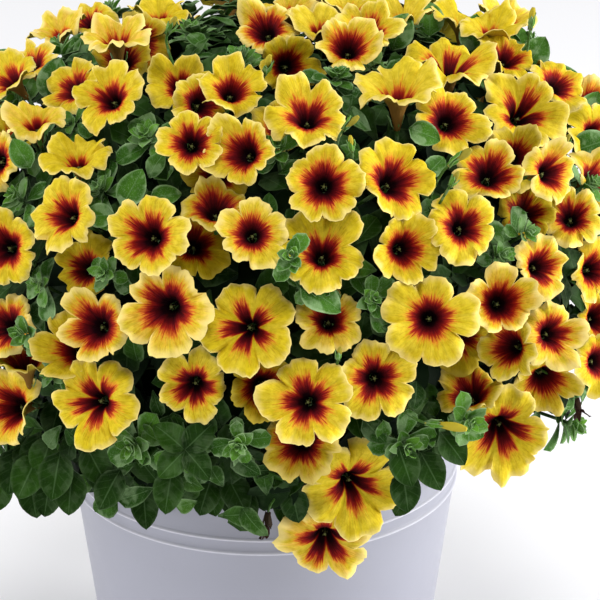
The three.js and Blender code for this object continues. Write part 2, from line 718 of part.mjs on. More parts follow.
// Far blooms in sprays: each bloom that is left takes its nearest ones within reach with it.
function farSprays(blooms) {
  let left = [...blooms];
  const groups = [];
  while (left.length) {
    const [first, ...others] = left;
    const near = others
      .filter((bloom) => bloom.centre.distanceTo(first.centre) < FAR_SPRAY_REACH)
      .sort((m, n) => m.centre.distanceTo(first.centre) - n.centre.distanceTo(first.centre))
      .slice(0, FAR_SPRAY_SIZE - 1);
    groups.push([first, ...near]);
    left = others.filter((bloom) => !near.includes(bloom));
  }
  return groups;
}

function lathe(profile) {
  const geometry = new THREE.LatheGeometry(
    profile.map(([radius, z]) => new THREE.Vector2(radius, z)),
    POT_SIDES,
  );
  return solidOf(geometry.rotateX(Math.PI / 2));
}

// Outer radius of the pot's tapered wall, up to the rim band.
function potRadiusAt(z) {
  return POT_BASE_RADIUS + ((BAND_RADIUS - POT_BASE_RADIUS) * z) / RIDGE_HEIGHTS[0];
}

function potSolid() {
  const ridges = RIDGE_HEIGHTS.flatMap((z) => [
    [BAND_RADIUS, z - RIDGE_HALF],
    [BAND_RADIUS + RIDGE_OUT, z],
    [BAND_RADIUS, z + RIDGE_HALF],
  ]);
  const body = lathe([
    [0, 0],
    [POT_BASE_RADIUS - FOOT_CHAMFER, 0],
    [POT_BASE_RADIUS, FOOT_CHAMFER],
    ...ridges,
    [BAND_RADIUS, POT_HEIGHT - LIP_DEPTH],
    [POT_RIM_RADIUS, POT_HEIGHT - LIP_DEPTH + RIM_CHAMFER],
    [POT_RIM_RADIUS, POT_HEIGHT - RIM_CHAMFER],
    [POT_RIM_RADIUS - RIM_CHAMFER, POT_HEIGHT],
    [POT_RIM_RADIUS - LIP_WALL, POT_HEIGHT],
    [innerRadiusAt(POT_HEIGHT - LIP_DEPTH), POT_HEIGHT - LIP_DEPTH],
    [innerRadiusAt(RIDGE_HEIGHTS[0]), RIDGE_HEIGHTS[0]],
    [innerRadiusAt(POT_FLOOR), POT_FLOOR],
    [0, POT_FLOOR],
  ]);
  const notches = Array.from({ length: DRAIN_NOTCHES }, (_, i) => {
    const box = new THREE.BoxGeometry(2 * DRAIN_DEPTH, DRAIN_WIDTH, 2 * DRAIN_HEIGHT);
    box.translate(POT_BASE_RADIUS, 0, 0);
    return solidOf(box.rotateZ((2 * Math.PI * (i + 0.5)) / DRAIN_NOTCHES));
  });
  return body.subtract(union(notches));
}

function innerRadiusAt(z) {
  return Math.min(potRadiusAt(z), BAND_RADIUS) - POT_WALL;
}

function soilSolid() {
  const body = lathe([
    [0, POT_FLOOR + GAP],
    [innerRadiusAt(POT_FLOOR + GAP) - GAP, POT_FLOOR + GAP],
    [innerRadiusAt(RIDGE_HEIGHTS[0]) - GAP, RIDGE_HEIGHTS[0]],
    [innerRadiusAt(SOIL_TOP) - GAP, SOIL_TOP],
    [0, SOIL_TOP],
  ]);
  const holes = Array.from({ length: STEM_COUNT }, (_, i) => {
    const angle = (2 * Math.PI * (i + 0.5)) / STEM_COUNT;
    const top = ringPoint(angle, { ring: STEM_FOOT_RING, z: SOIL_TOP + CUT_HEADROOM });
    const bottom = ringPoint(angle, { ring: STEM_FOOT_RING, z: SOIL_TOP - HOLE_DEPTH });
    return limb([bottom, top], [HOLE_RADIUS, HOLE_RADIUS], HOLE_SIDES);
  });
  return body.subtract(union(holes));
}

function nodeName(kind, index) {
  return `${kind}_${String(index + 1).padStart(2, "0")}`;
}

const random = makeRandom(SEED);
const seenBlooms = SPRAYS.map((list) => list.map(bloomInPicture));
const seenShoots = SHOOTS.map(([x, y]) =>
  shootAt(seenOnCrown(x, y, -SHOOT_DEPTH), THREE.MathUtils.degToRad(turnAt(x, y, SHOOT_TURN))),
);
const lonelyBlooms = farBlooms(seenBlooms.flat(), random);
const bloomGroups = [...seenBlooms, ...farSprays(lonelyBlooms)];
const shoots = [
  ...seenShoots,
  ...farShoots([...seenBlooms.flat(), ...lonelyBlooms], seenShoots, random),
];

const group = new THREE.Group();
const pot = potSolid();
group.add(meshOf(pot, "pot", WHITE_PLASTIC));
group.add(meshOf(soilSolid(), "soil", POTTING_SOIL));

// What stands already, with a margin round it: later pieces are trimmed by it.
let standing = pot;
const sprays = bloomGroups.map((blooms) => ({ blooms, axil: axilOf(blooms) }));
sprays.forEach((spray, i) => {
  const solid = largestBody(spraySolid(spray, 0).subtract(standing));
  group.add(meshOf(solid, nodeName("bloom_spray", i), PETAL_YELLOW));
  standing = standing.add(spraySolid(spray, GAP));
});

const sectorOf = (point) => {
  const angle = Math.atan2(point.y, point.x) + 2 * Math.PI;
  return Math.floor((angle / (2 * Math.PI)) * STEM_COUNT) % STEM_COUNT;
};
for (let i = 0; i < STEM_COUNT; i += 1) {
  const targets = {
    axils: sprays.map((spray) => spray.axil).filter((axil) => sectorOf(axil) === i),
    shoots: shoots.filter((shoot) => sectorOf(shoot.root) === i),
  };
  const stem = leafyStem(i, targets, standing);
  const solid = largestBody(stem(0).subtract(standing));
  group.add(meshOf(solid, nodeName("leafy_stem", i), LEAF_GREEN));
  standing = standing.add(stem(GAP));
}

export default group;
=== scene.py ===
"""A potted trailing petunia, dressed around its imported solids.

Shapes are worked out in millimetres, with the pot standing on z = 0 and facing -Y, and are built in
metres. Blooms and shoots are listed by their places in a square picture, and met by its sight lines.
"""

import logging
import math
import random
from collections.abc import Callable, Iterator
from dataclasses import dataclass, field
from enum import Enum
from typing import TypeAlias

import bpy
import numpy as np
from mathutils import Matrix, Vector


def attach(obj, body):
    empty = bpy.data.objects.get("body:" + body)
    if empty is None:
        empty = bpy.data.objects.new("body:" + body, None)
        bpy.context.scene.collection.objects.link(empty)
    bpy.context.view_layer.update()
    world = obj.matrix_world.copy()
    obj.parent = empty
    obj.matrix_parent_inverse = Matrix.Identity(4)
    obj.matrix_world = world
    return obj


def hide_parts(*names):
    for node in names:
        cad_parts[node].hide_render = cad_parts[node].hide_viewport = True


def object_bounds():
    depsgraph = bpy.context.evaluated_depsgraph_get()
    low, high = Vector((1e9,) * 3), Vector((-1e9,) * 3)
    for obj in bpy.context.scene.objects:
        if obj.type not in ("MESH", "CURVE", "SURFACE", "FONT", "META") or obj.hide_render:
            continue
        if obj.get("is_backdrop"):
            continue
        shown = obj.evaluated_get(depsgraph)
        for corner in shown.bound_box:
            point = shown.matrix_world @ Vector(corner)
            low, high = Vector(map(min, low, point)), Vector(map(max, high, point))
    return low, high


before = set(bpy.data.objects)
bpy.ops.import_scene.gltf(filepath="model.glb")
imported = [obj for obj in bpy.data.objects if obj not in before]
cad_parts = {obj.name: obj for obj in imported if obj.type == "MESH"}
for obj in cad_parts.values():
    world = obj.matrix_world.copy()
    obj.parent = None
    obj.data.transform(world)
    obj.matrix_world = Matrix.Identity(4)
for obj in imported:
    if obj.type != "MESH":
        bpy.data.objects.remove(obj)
CAD_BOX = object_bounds()

LOG = logging.getLogger("petunia")
MM = 0.001
BODY = "root"

Point = np.ndarray
Points = np.ndarray
Faces = np.ndarray
Colour = tuple[float, float, float]
Material = bpy.types.Material

UP = np.array([0.0, 0.0, 1.0])
WHITE: Colour = (1.0, 1.0, 1.0)
# A square's corners, in order
SQUARE = ((-1, -1), (1, -1), (1, 1), (-1, 1))
# Sharper edges than this, in degrees, aren't smoothed
SMOOTH_ANGLE = 62.0


class Slot(Enum):
    """The record's material slots."""

    PLASTIC = "white_plastic"
    SOIL = "potting_soil"
    LEAVES = "leaves"
    PETALS = "petals"


class Seed(Enum):
    """Starts of the seeded draws, which a bloom's, bud's, shoot's or stem's number is added to."""

    CRUMBS = 3
    FILLERS = 5
    SKIRT = 11
    SINGLE_LEAVES = 23
    CORE = 30
    ROSETTE = 70
    ROSETTE_TONES = 170
    PETAL_TONE = 400
    SEPALS = 600
    PETALS = 900
    BUD = 2500


class LeafShape(Enum):
    """Outlines of a leaf, as the powers of its growth from the root and from the tip."""

    OVATE = (0.62, 0.78)
    SPOON = (1.15, 0.5)
    SLIM = (0.7, 0.9)


class BudKind(Enum):
    """What a stalk carries besides open blooms."""

    GREEN = "green"
    STRIPED = "striped"
    DRY = "dry"


@dataclass(frozen=True)
class BloomStyle:
    """How one bloom differs from its neighbours.

    star: share of five separate dark rays, against one round dark blotch.
    blotch: size of the dark throat, against the usual one.
    cup: how far the petals still stand forward, as a share of the radius.
    curls: turn of each petal's tip backwards, in radians, by petal number.
    """

    star: float = 0.0
    blotch: float = 1.0
    cup: float = 0.0
    curls: tuple[tuple[int, float], ...] = ()


# Sprays of blooms in the picture, the foremost first. Each bloom: centre x, y and face width in the
# picture, how far it faces right and up (0 faces the viewer), and its lift out of the crown in mm.
SPRAYS = [
    [[430, 319, 98, 0, 0, 12], [460, 336, 86, 0.2, -0.1, -18], [500, 303, 44, 0.1, 0.1, 6]],
    [[324, 185, 88, 0, 0.05, 8], [396, 180, 94, 0.4, 0.25, 3]],
    [[246, 328, 106, -0.15, 0, 3], [193, 388, 82, -0.1, -0.25, -2], [262, 388, 60, 0.1, -0.2, -14]],
    [[165, 309, 98, -0.25, -0.1, 9], [95, 326, 78, -0.35, 0.1, 3]],
    [[93, 402, 98, -0.3, 0, 12], [74, 348, 40, -0.3, 0.3, -6]],
    [[306, 402, 98, -0.1, 0.05, 12], [298, 441, 88, -0.3, 0.1, -8]],
    [[376, 380, 88, 0.05, -0.05, 2], [330, 318, 64, 0.1, 0.3, -6]],
    [[355, 488, 106, 0.25, -0.3, 12], [325, 546, 96, 0, -0.5, 0]],
    [[503, 434, 102, 0.1, -0.4, -3], [470, 392, 58, -0.2, 0.6, -6]],
    [[322, 250, 98, 0, 0.35, 0], [252, 232, 76, 0, 0.25, 6]],
    [[147, 236, 94, -0.25, 0.1, 12], [196, 243, 60, 0.2, 0.3, -18], [215, 206, 60, 0, 0.6, -6]],
    [[62, 213, 86, -0.5, 0.25, 12], [76, 155, 66, -0.1, 0.75, 0], [82, 268, 64, -0.5, 0.1, -12]],
    [[464, 225, 82, 0.2, 0.2, 6], [490, 172, 80, 0.1, 0.4, -2], [405, 249, 60, 0.3, 0, -4]],
    [[543, 267, 72, 0.5, 0.05, 2], [596, 270, 66, 0.5, 0, 0], [600, 318, 60, 0.6, 0.1, -4],
     [527, 212, 56, 0.3, 0.3, -15]],
    [[555, 333, 76, 0.45, 0.1, 4], [508, 347, 66, -0.6, 0, 6], [545, 380, 62, 0.2, -0.5, -4]],
    [[308, 112, 86, 0.05, 0.6, 12], [285, 128, 62, 0.2, 0.6, -9], [288, 66, 56, 0.2, 0, -12]],
    [[108, 95, 80, -0.3, 0.4, 8], [70, 85, 66, -0.5, 0.5, -4], [35, 118, 66, -0.1, 0.75, 3]],
    [[525, 112, 92, 0.3, 0.3, -6], [517, 155, 54, 0.2, 0.2, -9], [553, 172, 70, 0.6, 0.1, 12]],
    [[398, 84, 105, 0, 0.85, 12], [450, 118, 84, 0.2, 0.3, -2], [450, 58, 102, 0.05, 0.85, 2]],
    [[180, 84, 70, 0, 0.35, -6], [232, 88, 64, 0.15, 0.5, 12], [203, 102, 54, 0.4, 0.2, -3]],
    [[191, 142, 68, 0, 0.2, 12], [243, 152, 76, -0.35, 0.2, 6], [218, 172, 54, 0, 0.2, -15]],
    [[572, 215, 72, 0, 0.35, -2], [597, 180, 60, 0.7, 0.2, -4]],
    [[2, 248, 88, -0.3, 0, 4], [5, 325, 66, -0.4, 0.2, 3], [25, 360, 60, -0.1, 0.85, -4]],
    [[9, 408, 92, -0.55, 0, 4], [-34, 372, 80, -0.7, 0.1, 0]],
    [[602, 362, 60, 0.6, 0, 6], [628, 332, 76, 0.75, 0, 2]],
    [[8, 140, 60, -0.3, 0.6, -12], [-8, 160, 70, -0.5, 0.1, 4], [8, 76, 60, -0.5, 0.6, 6]],
    [[590, 103, 60, 0.4, 0.5, 0], [560, 82, 60, 0.5, 0.5, -2], [598, 133, 66, 0.5, 0, 0]],
    [[115, 33, 80, -0.1, 0.85, 9], [143, 42, 56, 0.6, 0, -12], [122, 58, 52, 0, 0.5, -12],
     [160, 10, 60, 0, 0.85, -3]],
    [[58, 28, 64, -0.3, 0.8, 0], [88, 17, 60, -0.3, 0.7, -2], [28, 60, 60, -0.4, 0.7, 0]],
    [[265, 28, 58, -0.2, 0.5, -2], [290, 5, 68, 0, 0.9, -6]],
    [[320, 22, 60, 0, 0.8, -2], [348, 46, 54, 0, 0.5, 0]],
    [[368, 30, 66, 0, 0.6, 0], [402, 14, 64, -0.1, 0.85, 3], [350, 4, 70, 0, 0.9, 0]],
    [[465, 18, 80, 0.1, 0.9, 0], [492, 25, 58, 0.1, 0.8, 6], [508, 14, 56, 0.2, 0.85, -2],
     [508, 55, 60, 0.3, 0.6, -4]],
]

# Blooms of their own kind, by their centre in the picture
STYLES = {
    (450, 58): BloomStyle(star=1.0),
    (525, 112): BloomStyle(star=1.0, cup=0.1),
    (93, 402): BloomStyle(star=0.8),
    (246, 328): BloomStyle(star=0.9),
    (355, 488): BloomStyle(star=1.0),
    (325, 546): BloomStyle(star=1.0),
    (376, 380): BloomStyle(star=0.3),
    (306, 402): BloomStyle(star=0.4),
    (503, 434): BloomStyle(star=0.8, cup=0.12),
    (193, 388): BloomStyle(star=0.4, curls=((0, 1.5), (1, 0.9))),
    (545, 380): BloomStyle(cup=0.35),
    (203, 102): BloomStyle(curls=((1, 1.3), (2, 1.1))),
    (25, 360): BloomStyle(cup=0.5),
    (74, 348): BloomStyle(cup=0.7),
    (500, 303): BloomStyle(cup=0.75),
    (405, 249): BloomStyle(cup=0.4),
    (288, 66): BloomStyle(cup=0.5),
    (262, 388): BloomStyle(cup=0.4),
    (348, 46): BloomStyle(cup=0.4),
    (122, 58): BloomStyle(cup=0.4),
    (508, 347): BloomStyle(cup=0.3, curls=((2, 1.0),)),
}

# Shoots with a rosette of leaves: x, y in the picture
SHOOTS = [
    [60, 50], [15, 100], [70, 122], [35, 142], [150, 140], [22, 200], [103, 192],
    [190, 30], [240, 60], [295, 35], [335, 75], [375, 62], [390, 120], [278, 155],
    [528, 45], [515, 238], [290, 265], [313, 288], [370, 300], [45, 285], [110, 275],
    [60, 370], [185, 450], [445, 410], [400, 440], [560, 420], [575, 380], [110, 8],
    [425, 25], [578, 188], [495, 258], [45, 335], [240, 440], [140, 440], [20, 465],
]

# Buds and dried remains: x, y, heading in degrees (0 right, 90 up), how far it points at the viewer,
# length in mm, kind
BUDS = [
    (425, 423, -8, 0.3, 24, BudKind.STRIPED), (338, 360, 80, 0.6, 9, BudKind.GREEN),
    (530, 30, 80, 0.3, 14, BudKind.STRIPED), (264, 75, 70, 0.5, 13, BudKind.STRIPED),
    (343, 130, 40, 0.4, 12, BudKind.GREEN), (352, 152, 100, 0.5, 10, BudKind.STRIPED),
    (448, 166, 35, 0.3, 16, BudKind.GREEN), (450, 186, 60, 0.5, 10, BudKind.GREEN),
    (268, 512, -95, 0.1, 14, BudKind.DRY), (577, 398, -80, 0.1, 12, BudKind.DRY),
    (167, 34, 60, 0.4, 12, BudKind.GREEN), (560, 150, 60, 0.5, 11, BudKind.GREEN),
]

# Single leaves: x, y of the foot, heading in degrees, lift out of the crown, length and width in mm
SINGLE_LEAVES = [
    (300, 286, -22, 0, 27, 19), (122, 207, 62, 2, 24, 16), (114, 214, 185, -3, 18, 14),
    (409, 128, -20, 0, 20, 14), (30, 168, 120, 0, 20, 14), (150, 198, 10, -2, 18, 12),
    (432, 448, 200, 0, 26, 18), (448, 416, -30, -2, 24, 17), (398, 446, -70, 0, 25, 18),
    (185, 450, 45, 4, 23, 17), (185, 450, 135, 4, 23, 17), (185, 450, 225, 4, 22, 16),
    (185, 450, -45, 4, 22, 16), (143, 484, -85, 0, 27, 17), (120, 470, -120, -2, 26, 18),
    (226, 474, -60, 0, 26, 18), (246, 488, -95, 0, 26, 17), (212, 476, -110, 0, 25, 18),
    (172, 470, -100, 0, 26, 18), (290, 486, -75, 0, 24, 17), (60, 452, -100, 0, 29, 21),
    (38, 455, -115, 0, 29, 21), (16, 448, -100, 0, 29, 21), (86, 446, -60, 0, 27, 19),
    (72, 470, -95, -2, 27, 20), (30, 478, -80, -2, 26, 19), (2, 470, -100, 0, 28, 20),
    (50, 482, -100, -4, 22, 18), (96, 452, -80, -3, 25, 18), (402, 470, -80, 0, 26, 18),
    (420, 452, -60, 0, 25, 18), (440, 432, -50, -2, 24, 17), (430, 36, 90, -14, 24, 18),
    (470, 52, 80, -16, 24, 18), (514, 62, 80, -16, 24, 18), (70, 62, 60, -20, 22, 16),
    (76, 62, 40, -16, 28, 20), (28, 86, 130, -14, 28, 20), (18, 100, 60, -16, 28, 20),
    (60, 68, 20, -20, 28, 20), (24, 74, 150, -20, 26, 19), (50, 102, 80, -16, 28, 20),
    (392, 50, 70, -14, 26, 19), (382, 56, 130, -14, 26, 19), (524, 72, 60, -14, 26, 19),
    (540, 84, 20, -14, 26, 19), (572, 152, 20, -14, 26, 19), (584, 130, 70, -14, 26, 19),
    (412, 484, -120, -2, 22, 16), (40, 432, -95, -8, 30, 22), (26, 436, -80, -8, 28, 20),
    (52, 436, -110, -10, 28, 20),
]


def unit(vector: Point) -> Point:
    """Return the vector at length 1."""
    return vector / max(1e-12, float(np.linalg.norm(vector)))


def square_to(axis: Point) -> tuple[Point, Point]:
    """Return a side and a lift direction square to a unit axis, where side x lift is the axis."""
    helper = np.array([0.0, 1.0, 0.0]) if abs(axis[2]) > 0.9 else UP
    side = unit(np.cross(helper, axis))
    return side, np.cross(axis, side)


def turned(side: Point, lift: Point, angle: float) -> Point:
    """Return the direction at an angle between two square ones."""
    return side * math.cos(angle) + lift * math.sin(angle)


def ring_point(angle: float, ring: float, z: float) -> Point:
    """Return the point at an angle round the pot's axis."""
    return np.array([ring * math.cos(angle), ring * math.sin(angle), z])


def leaned(axis: Point, radial: Point, lean: float) -> tuple[Point, Point]:
    """Return the directions along a blade that leans from an axis, and square to its face."""
    along = axis * math.cos(lean) + radial * math.sin(lean)
    return along, axis * math.sin(lean) - radial * math.cos(lean)


def seeded(seed: Seed, number: int = 0) -> random.Random:
    """Return the draws of one numbered thing."""
    return random.Random(seed.value + number)


def seeded_numbers(seed: int) -> Iterator[float]:
    """Yield the part's own seeded uniform numbers from 0 to 1."""
    state = seed
    while True:
        state = (state * 1664525 + 1013904223) & 0xFFFFFFFF
        yield state / 2**32


def smooth(low: float, high: float, value: np.ndarray) -> np.ndarray:
    """Return an eased step from 0 at low to 1 at high."""
    share = np.clip((value - low) / (high - low), 0.0, 1.0)
    return share * share * (3.0 - 2.0 * share)


def last_within(is_within: Callable[[float], bool], within: float, without: float) -> float:
    """Return where a stretch leaves a shape, between a place within it and one without."""
    for _ in range(16):
        middle = (within + without) / 2
        if is_within(middle):
            within = middle
        else:
            without = middle
    return within


def linked(name: str, data: bpy.types.ID) -> bpy.types.Object:
    """Make an object of its data and link it to the scene."""
    made = bpy.data.objects.new(name, data)
    bpy.context.scene.collection.objects.link(made)
    return made


def matrix_of(*columns: Point) -> Matrix:
    """Return the matrix of three axes and a place."""
    return Matrix([*np.stack(columns, axis=-1).tolist(), (0.0, 0.0, 0.0, 1.0)])


@dataclass(frozen=True)
class View:
    """The picture that the blooms are placed by: its eye, angle and focal length."""

    size: float = 600.0
    focal: float = 2523.6
    distance: float = 1600.0
    elevation: float = math.radians(21.7)
    target: tuple[float, float, float] = (22.8, 0.0, 284.3)
    sensor: float = 36.0

    @property
    def forward(self) -> Point:
        """Direction from the eye into the picture."""
        return np.array([0.0, math.cos(self.elevation), -math.sin(self.elevation)])

    @property
    def up(self) -> Point:
        """Direction of the picture's upper edge."""
        return np.array([0.0, math.sin(self.elevation), math.cos(self.elevation)])

    @property
    def right(self) -> Point:
        """Direction of the picture's right edge."""
        return np.array([1.0, 0.0, 0.0])

    @property
    def eye(self) -> Point:
        """Place of the eye."""
        return np.array(self.target) - self.forward * self.distance

    def sight(self, x: float, y: float) -> Point:
        """Return the direction of the sight line through a place in the picture."""
        half = self.size / 2
        across = self.right * ((x - half) / self.focal) + self.up * ((half - y) / self.focal)
        return unit(self.forward + across)

    def picture_of(self, point: Point) -> tuple[float, float, float]:
        """Return a point's x and y in the picture, and its depth."""
        offset = point - self.eye
        depth = float(offset @ self.forward)
        x = self.size / 2 + self.focal * float(offset @ self.right) / depth
        y = self.size / 2 - self.focal * float(offset @ self.up) / depth
        return x, y, depth

    def camera(self) -> None:
        """Make the camera at the eye and set it as the scene's."""
        data = bpy.data.cameras.new("eye")
        data.sensor_width = self.sensor
        data.lens = self.focal * self.sensor / self.size
        data.clip_end = 60.0
        camera = linked("eye", data)
        camera.matrix_world = matrix_of(self.right, self.up, -self.forward, self.eye * MM)
        bpy.context.scene.camera = camera


@dataclass(frozen=True)
class Crown:
    """The round, flat-topped outline of leaves and blooms, which narrows to the pot below."""

    x: float = 12.0
    widest_z: float = 308.0
    radius: float = 208.0
    rise: float = 156.0
    power: float = 3.4
    skirt_radius: float = 142.0
    skirt_z: float = 175.0
    heart_z: float = 262.0
    hanging_below: float = 470.0
    hanging_ring: float = 164.0
    hanging_calyx: float = 228.0

    @property
    def heart(self) -> Point:
        """The point that the shoots grow away from."""
        return np.array([self.x, 0.0, self.heart_z])

    def radius_at(self, z: float, grow: float) -> float:
        """Return the outline's radius at a height, grown by some millimetres."""
        if z >= self.widest_z:
            rise = (z - self.widest_z) / (self.rise + grow)
            if rise >= 1:
                return 0.0
            return (self.radius + grow) * (1 - rise**self.power) ** (1 / self.power)
        drop = min(1.0, (self.widest_z - z) / (self.widest_z - self.skirt_z))
        return self.skirt_radius + (self.radius - self.skirt_radius) * math.sqrt(1 - drop * drop) + grow

    def holds(self, point: Point, grow: float) -> bool:
        """Say whether a point is inside the grown outline."""
        return math.hypot(point[0] - self.x, point[1]) < self.radius_at(float(point[2]), grow)

    def seen_at(self, view: View, x: float, y: float, lift: float) -> Point:
        """Find the first point of a sight line that is on the crown.

        Args:
            view: The picture.
            x: Place in the picture, to the right.
            y: Place in the picture, down.
            lift: How far the outline is grown.

        Returns:
            The point, or the nearest one of a line that misses the crown.
        """
        sight = view.sight(x, y)
        reach, step = 430.0, 4.0

        def is_inside(distance: float) -> bool:
            """Say whether the sight line's point is in what it has to meet."""
            point = view.eye + sight * distance
            if y > self.hanging_below:
                return math.hypot(point[0], point[1]) < self.hanging_ring + lift
            return self.holds(point, lift)

        best, best_miss = view.eye + sight * view.distance, math.inf
        near = view.distance - reach
        while near < view.distance + reach:
            if is_inside(near):
                return view.eye + sight * last_within(is_inside, near, near - step)
            point = view.eye + sight * near
            across = math.hypot(point[0] - self.x, point[1]) / self.radius
            miss = max(across, (point[2] - self.widest_z) / self.rise)
            if miss < best_miss:
                best_miss, best = miss, point
            near += step
        return best

    def towards(self, direction: Point, grow: float = 0.0) -> Point:
        """Return the outline's point in a direction from the middle of its widest ring."""
        start = np.array([self.x, 0.0, self.widest_z])
        reach = last_within(lambda share: self.holds(start + direction * share, grow), 0.0, 2 * self.radius)
        return start + direction * reach


def apart(place: Point, others: list[Point], gap: float) -> bool:
    """Say whether a place is farther than a gap from all others."""
    return all(np.linalg.norm(other - place) > gap for other in others)


def spread_directions(count: int, turn: float) -> list[Point]:
    """Return directions spread evenly over a sphere, from the top down."""
    golden_angle = math.pi * (3 - math.sqrt(5))
    found = []
    for i in range(count):
        z = 1 - (2 * (i + 0.5)) / count
        ring = math.sqrt(1 - z * z)
        angle = i * golden_angle + turn
        found.append(np.array([ring * math.cos(angle), ring * math.sin(angle), z]))
    return found


# What the arithmetic takes
Value: TypeAlias = "Socket | float"


class Socket:
    """One value in a material, with the usual arithmetic."""

    def __init__(self, tree: bpy.types.NodeTree, link: bpy.types.NodeSocket) -> None:
        """Wrap an output socket of a node tree."""
        self.tree = tree
        self.link = link

    def _math(self, operation: str, *values: Value) -> "Socket":
        """Add a Math node on these values and return its result."""
        node = self.tree.nodes.new("ShaderNodeMath")
        node.operation = operation
        for slot, value in zip(node.inputs, values):
            if isinstance(value, Socket):
                self.tree.links.new(value.link, slot)
            else:
                slot.default_value = value
        return Socket(self.tree, node.outputs[0])

    def __add__(self, other: Value) -> "Socket":
        """Return the sum."""
        return self._math("ADD", self, other)

    __radd__ = __add__

    def __sub__(self, other: Value) -> "Socket":
        """Return the difference."""
        return self._math("SUBTRACT", self, other)

    def __rsub__(self, other: Value) -> "Socket":
        """Return the difference the other way round."""
        return self._math("SUBTRACT", other, self)

    def __mul__(self, other: Value) -> "Socket":
        """Return the product."""
        return self._math("MULTIPLY", self, other)

    __rmul__ = __mul__

    def __truediv__(self, other: Value) -> "Socket":
        """Return the quotient."""
        return self._math("DIVIDE", self, other)

    def __abs__(self) -> "Socket":
        """Return the size without its sign."""
        return self._math("ABSOLUTE", self)

    def sine(self) -> "Socket":
        """Return the sine."""
        return self._math("SINE", self)

    def top(self, other: Value) -> "Socket":
        """Return the larger of two values."""
        return self._math("MAXIMUM", self, other)

    def step(self, low: float, high: float) -> "Socket":
        """Return an eased step from 0 at low to 1 at high."""
        node = self.tree.nodes.new("ShaderNodeMapRange")
        node.interpolation_type = "SMOOTHSTEP"
        self.tree.links.new(self.link, node.inputs["Value"])
        node.inputs["From Min"].default_value = low
        node.inputs["From Max"].default_value = high
        return Socket(self.tree, node.outputs["Result"])


class Shader:
    """A material that is being made, with its main shader."""

    def __init__(self, name: str) -> None:
        """Start a material with a plain main shader."""
        self.material = bpy.data.materials.new(name)
        self.material.use_nodes = True
        self.tree = self.material.node_tree
        self.surface = self.tree.nodes["Principled BSDF"]

    def node(self, kind: str, settings: dict | None = None, inputs: dict | None = None) -> bpy.types.Node:
        """Add a node.

        Args:
            kind: The node's type.
            settings: Its properties, set first; a ramp's stops go by the name stops.
            inputs: Values or links of its sockets, by name or number.

        Returns:
            The node.
        """
        node = self.tree.nodes.new(kind)
        for key, value in (settings or {}).items():
            if key == "stops":
                ramp = node.color_ramp.elements
                while len(ramp) < len(value):
                    ramp.new(1.0)
                for element, (place, colour) in zip(ramp, value):
                    element.position = place
                    element.color = (*colour, 1.0)
            else:
                setattr(node, key, value)
        for key, value in (inputs or {}).items():
            self._feed(node.inputs[key], value)
        return node

    def _feed(self, slot: bpy.types.NodeSocket, value: "Socket | float | tuple") -> None:
        """Set a socket to a value, or link it."""
        if isinstance(value, Socket):
            self.tree.links.new(value.link, slot)
        elif isinstance(value, tuple) and len(value) == 3 and len(slot.default_value) == 4:
            slot.default_value = (*value, 1.0)
        else:
            slot.default_value = value

    def out(self, node: bpy.types.Node, name: str | int = 0) -> Socket:
        """Return a node's output as a value."""
        return Socket(self.tree, node.outputs[name])

    def measure(self, name: str) -> Socket:
        """Return a number that the mesh holds at each point."""
        return self.out(self.node("ShaderNodeAttribute", {"attribute_name": name}), "Fac")

    def place(self, name: str) -> Socket:
        """Return a vector that the mesh holds at each point."""
        return self.out(self.node("ShaderNodeAttribute", {"attribute_name": name}), "Vector")

    def position(self) -> Socket:
        """Return the point's own coordinates."""
        return self.out(self.node("ShaderNodeTexCoord"), "Object")

    def noise(self, vector: Socket, scale: float, detail: float = 2.0, rough: float = 0.5) -> Socket:
        """Return a soft random value over the surface, around 0.5."""
        inputs = {"Vector": vector, "Scale": scale, "Detail": detail, "Roughness": rough}
        return self.out(self.node("ShaderNodeTexNoise", {}, inputs), "Fac")

    def mix(self, factor: Value, low: "Socket | tuple", high: "Socket | tuple") -> Socket:
        """Return a colour between two colours."""
        inputs = {0: factor, 6: low, 7: high}
        return self.out(self.node("ShaderNodeMix", {"data_type": "RGBA"}, inputs), 2)

    def tint(self, colour: Socket, by: "Socket | tuple", factor: float = 1.0) -> Socket:
        """Return a colour multiplied by another one."""
        settings = {"data_type": "RGBA", "blend_type": "MULTIPLY"}
        return self.out(self.node("ShaderNodeMix", settings, {0: factor, 6: colour, 7: by}), 2)

    def ramp(self, factor: Socket, stops: list[tuple[float, tuple]]) -> Socket:
        """Return the colour that a ramp gives a value."""
        return self.out(self.node("ShaderNodeValToRGB", {"stops": stops}, {0: factor}), 0)

    def bump(self, height: Socket, strength: float, distance: float) -> None:
        """Let a height tilt the surface's light, by so many millimetres."""
        inputs = {"Height": height, "Strength": strength, "Distance": distance * MM}
        normal = self.out(self.node("ShaderNodeBump", {}, inputs), 0)
        self._feed(self.surface.inputs["Normal"], normal)

    def finish(self, **values: "Socket | float | tuple") -> Material:
        """Set the main shader's sockets, by names with _ for spaces, and return the material."""
        for name, value in values.items():
            self._feed(self.surface.inputs[name.replace("_", " ")], value)
        return self.material


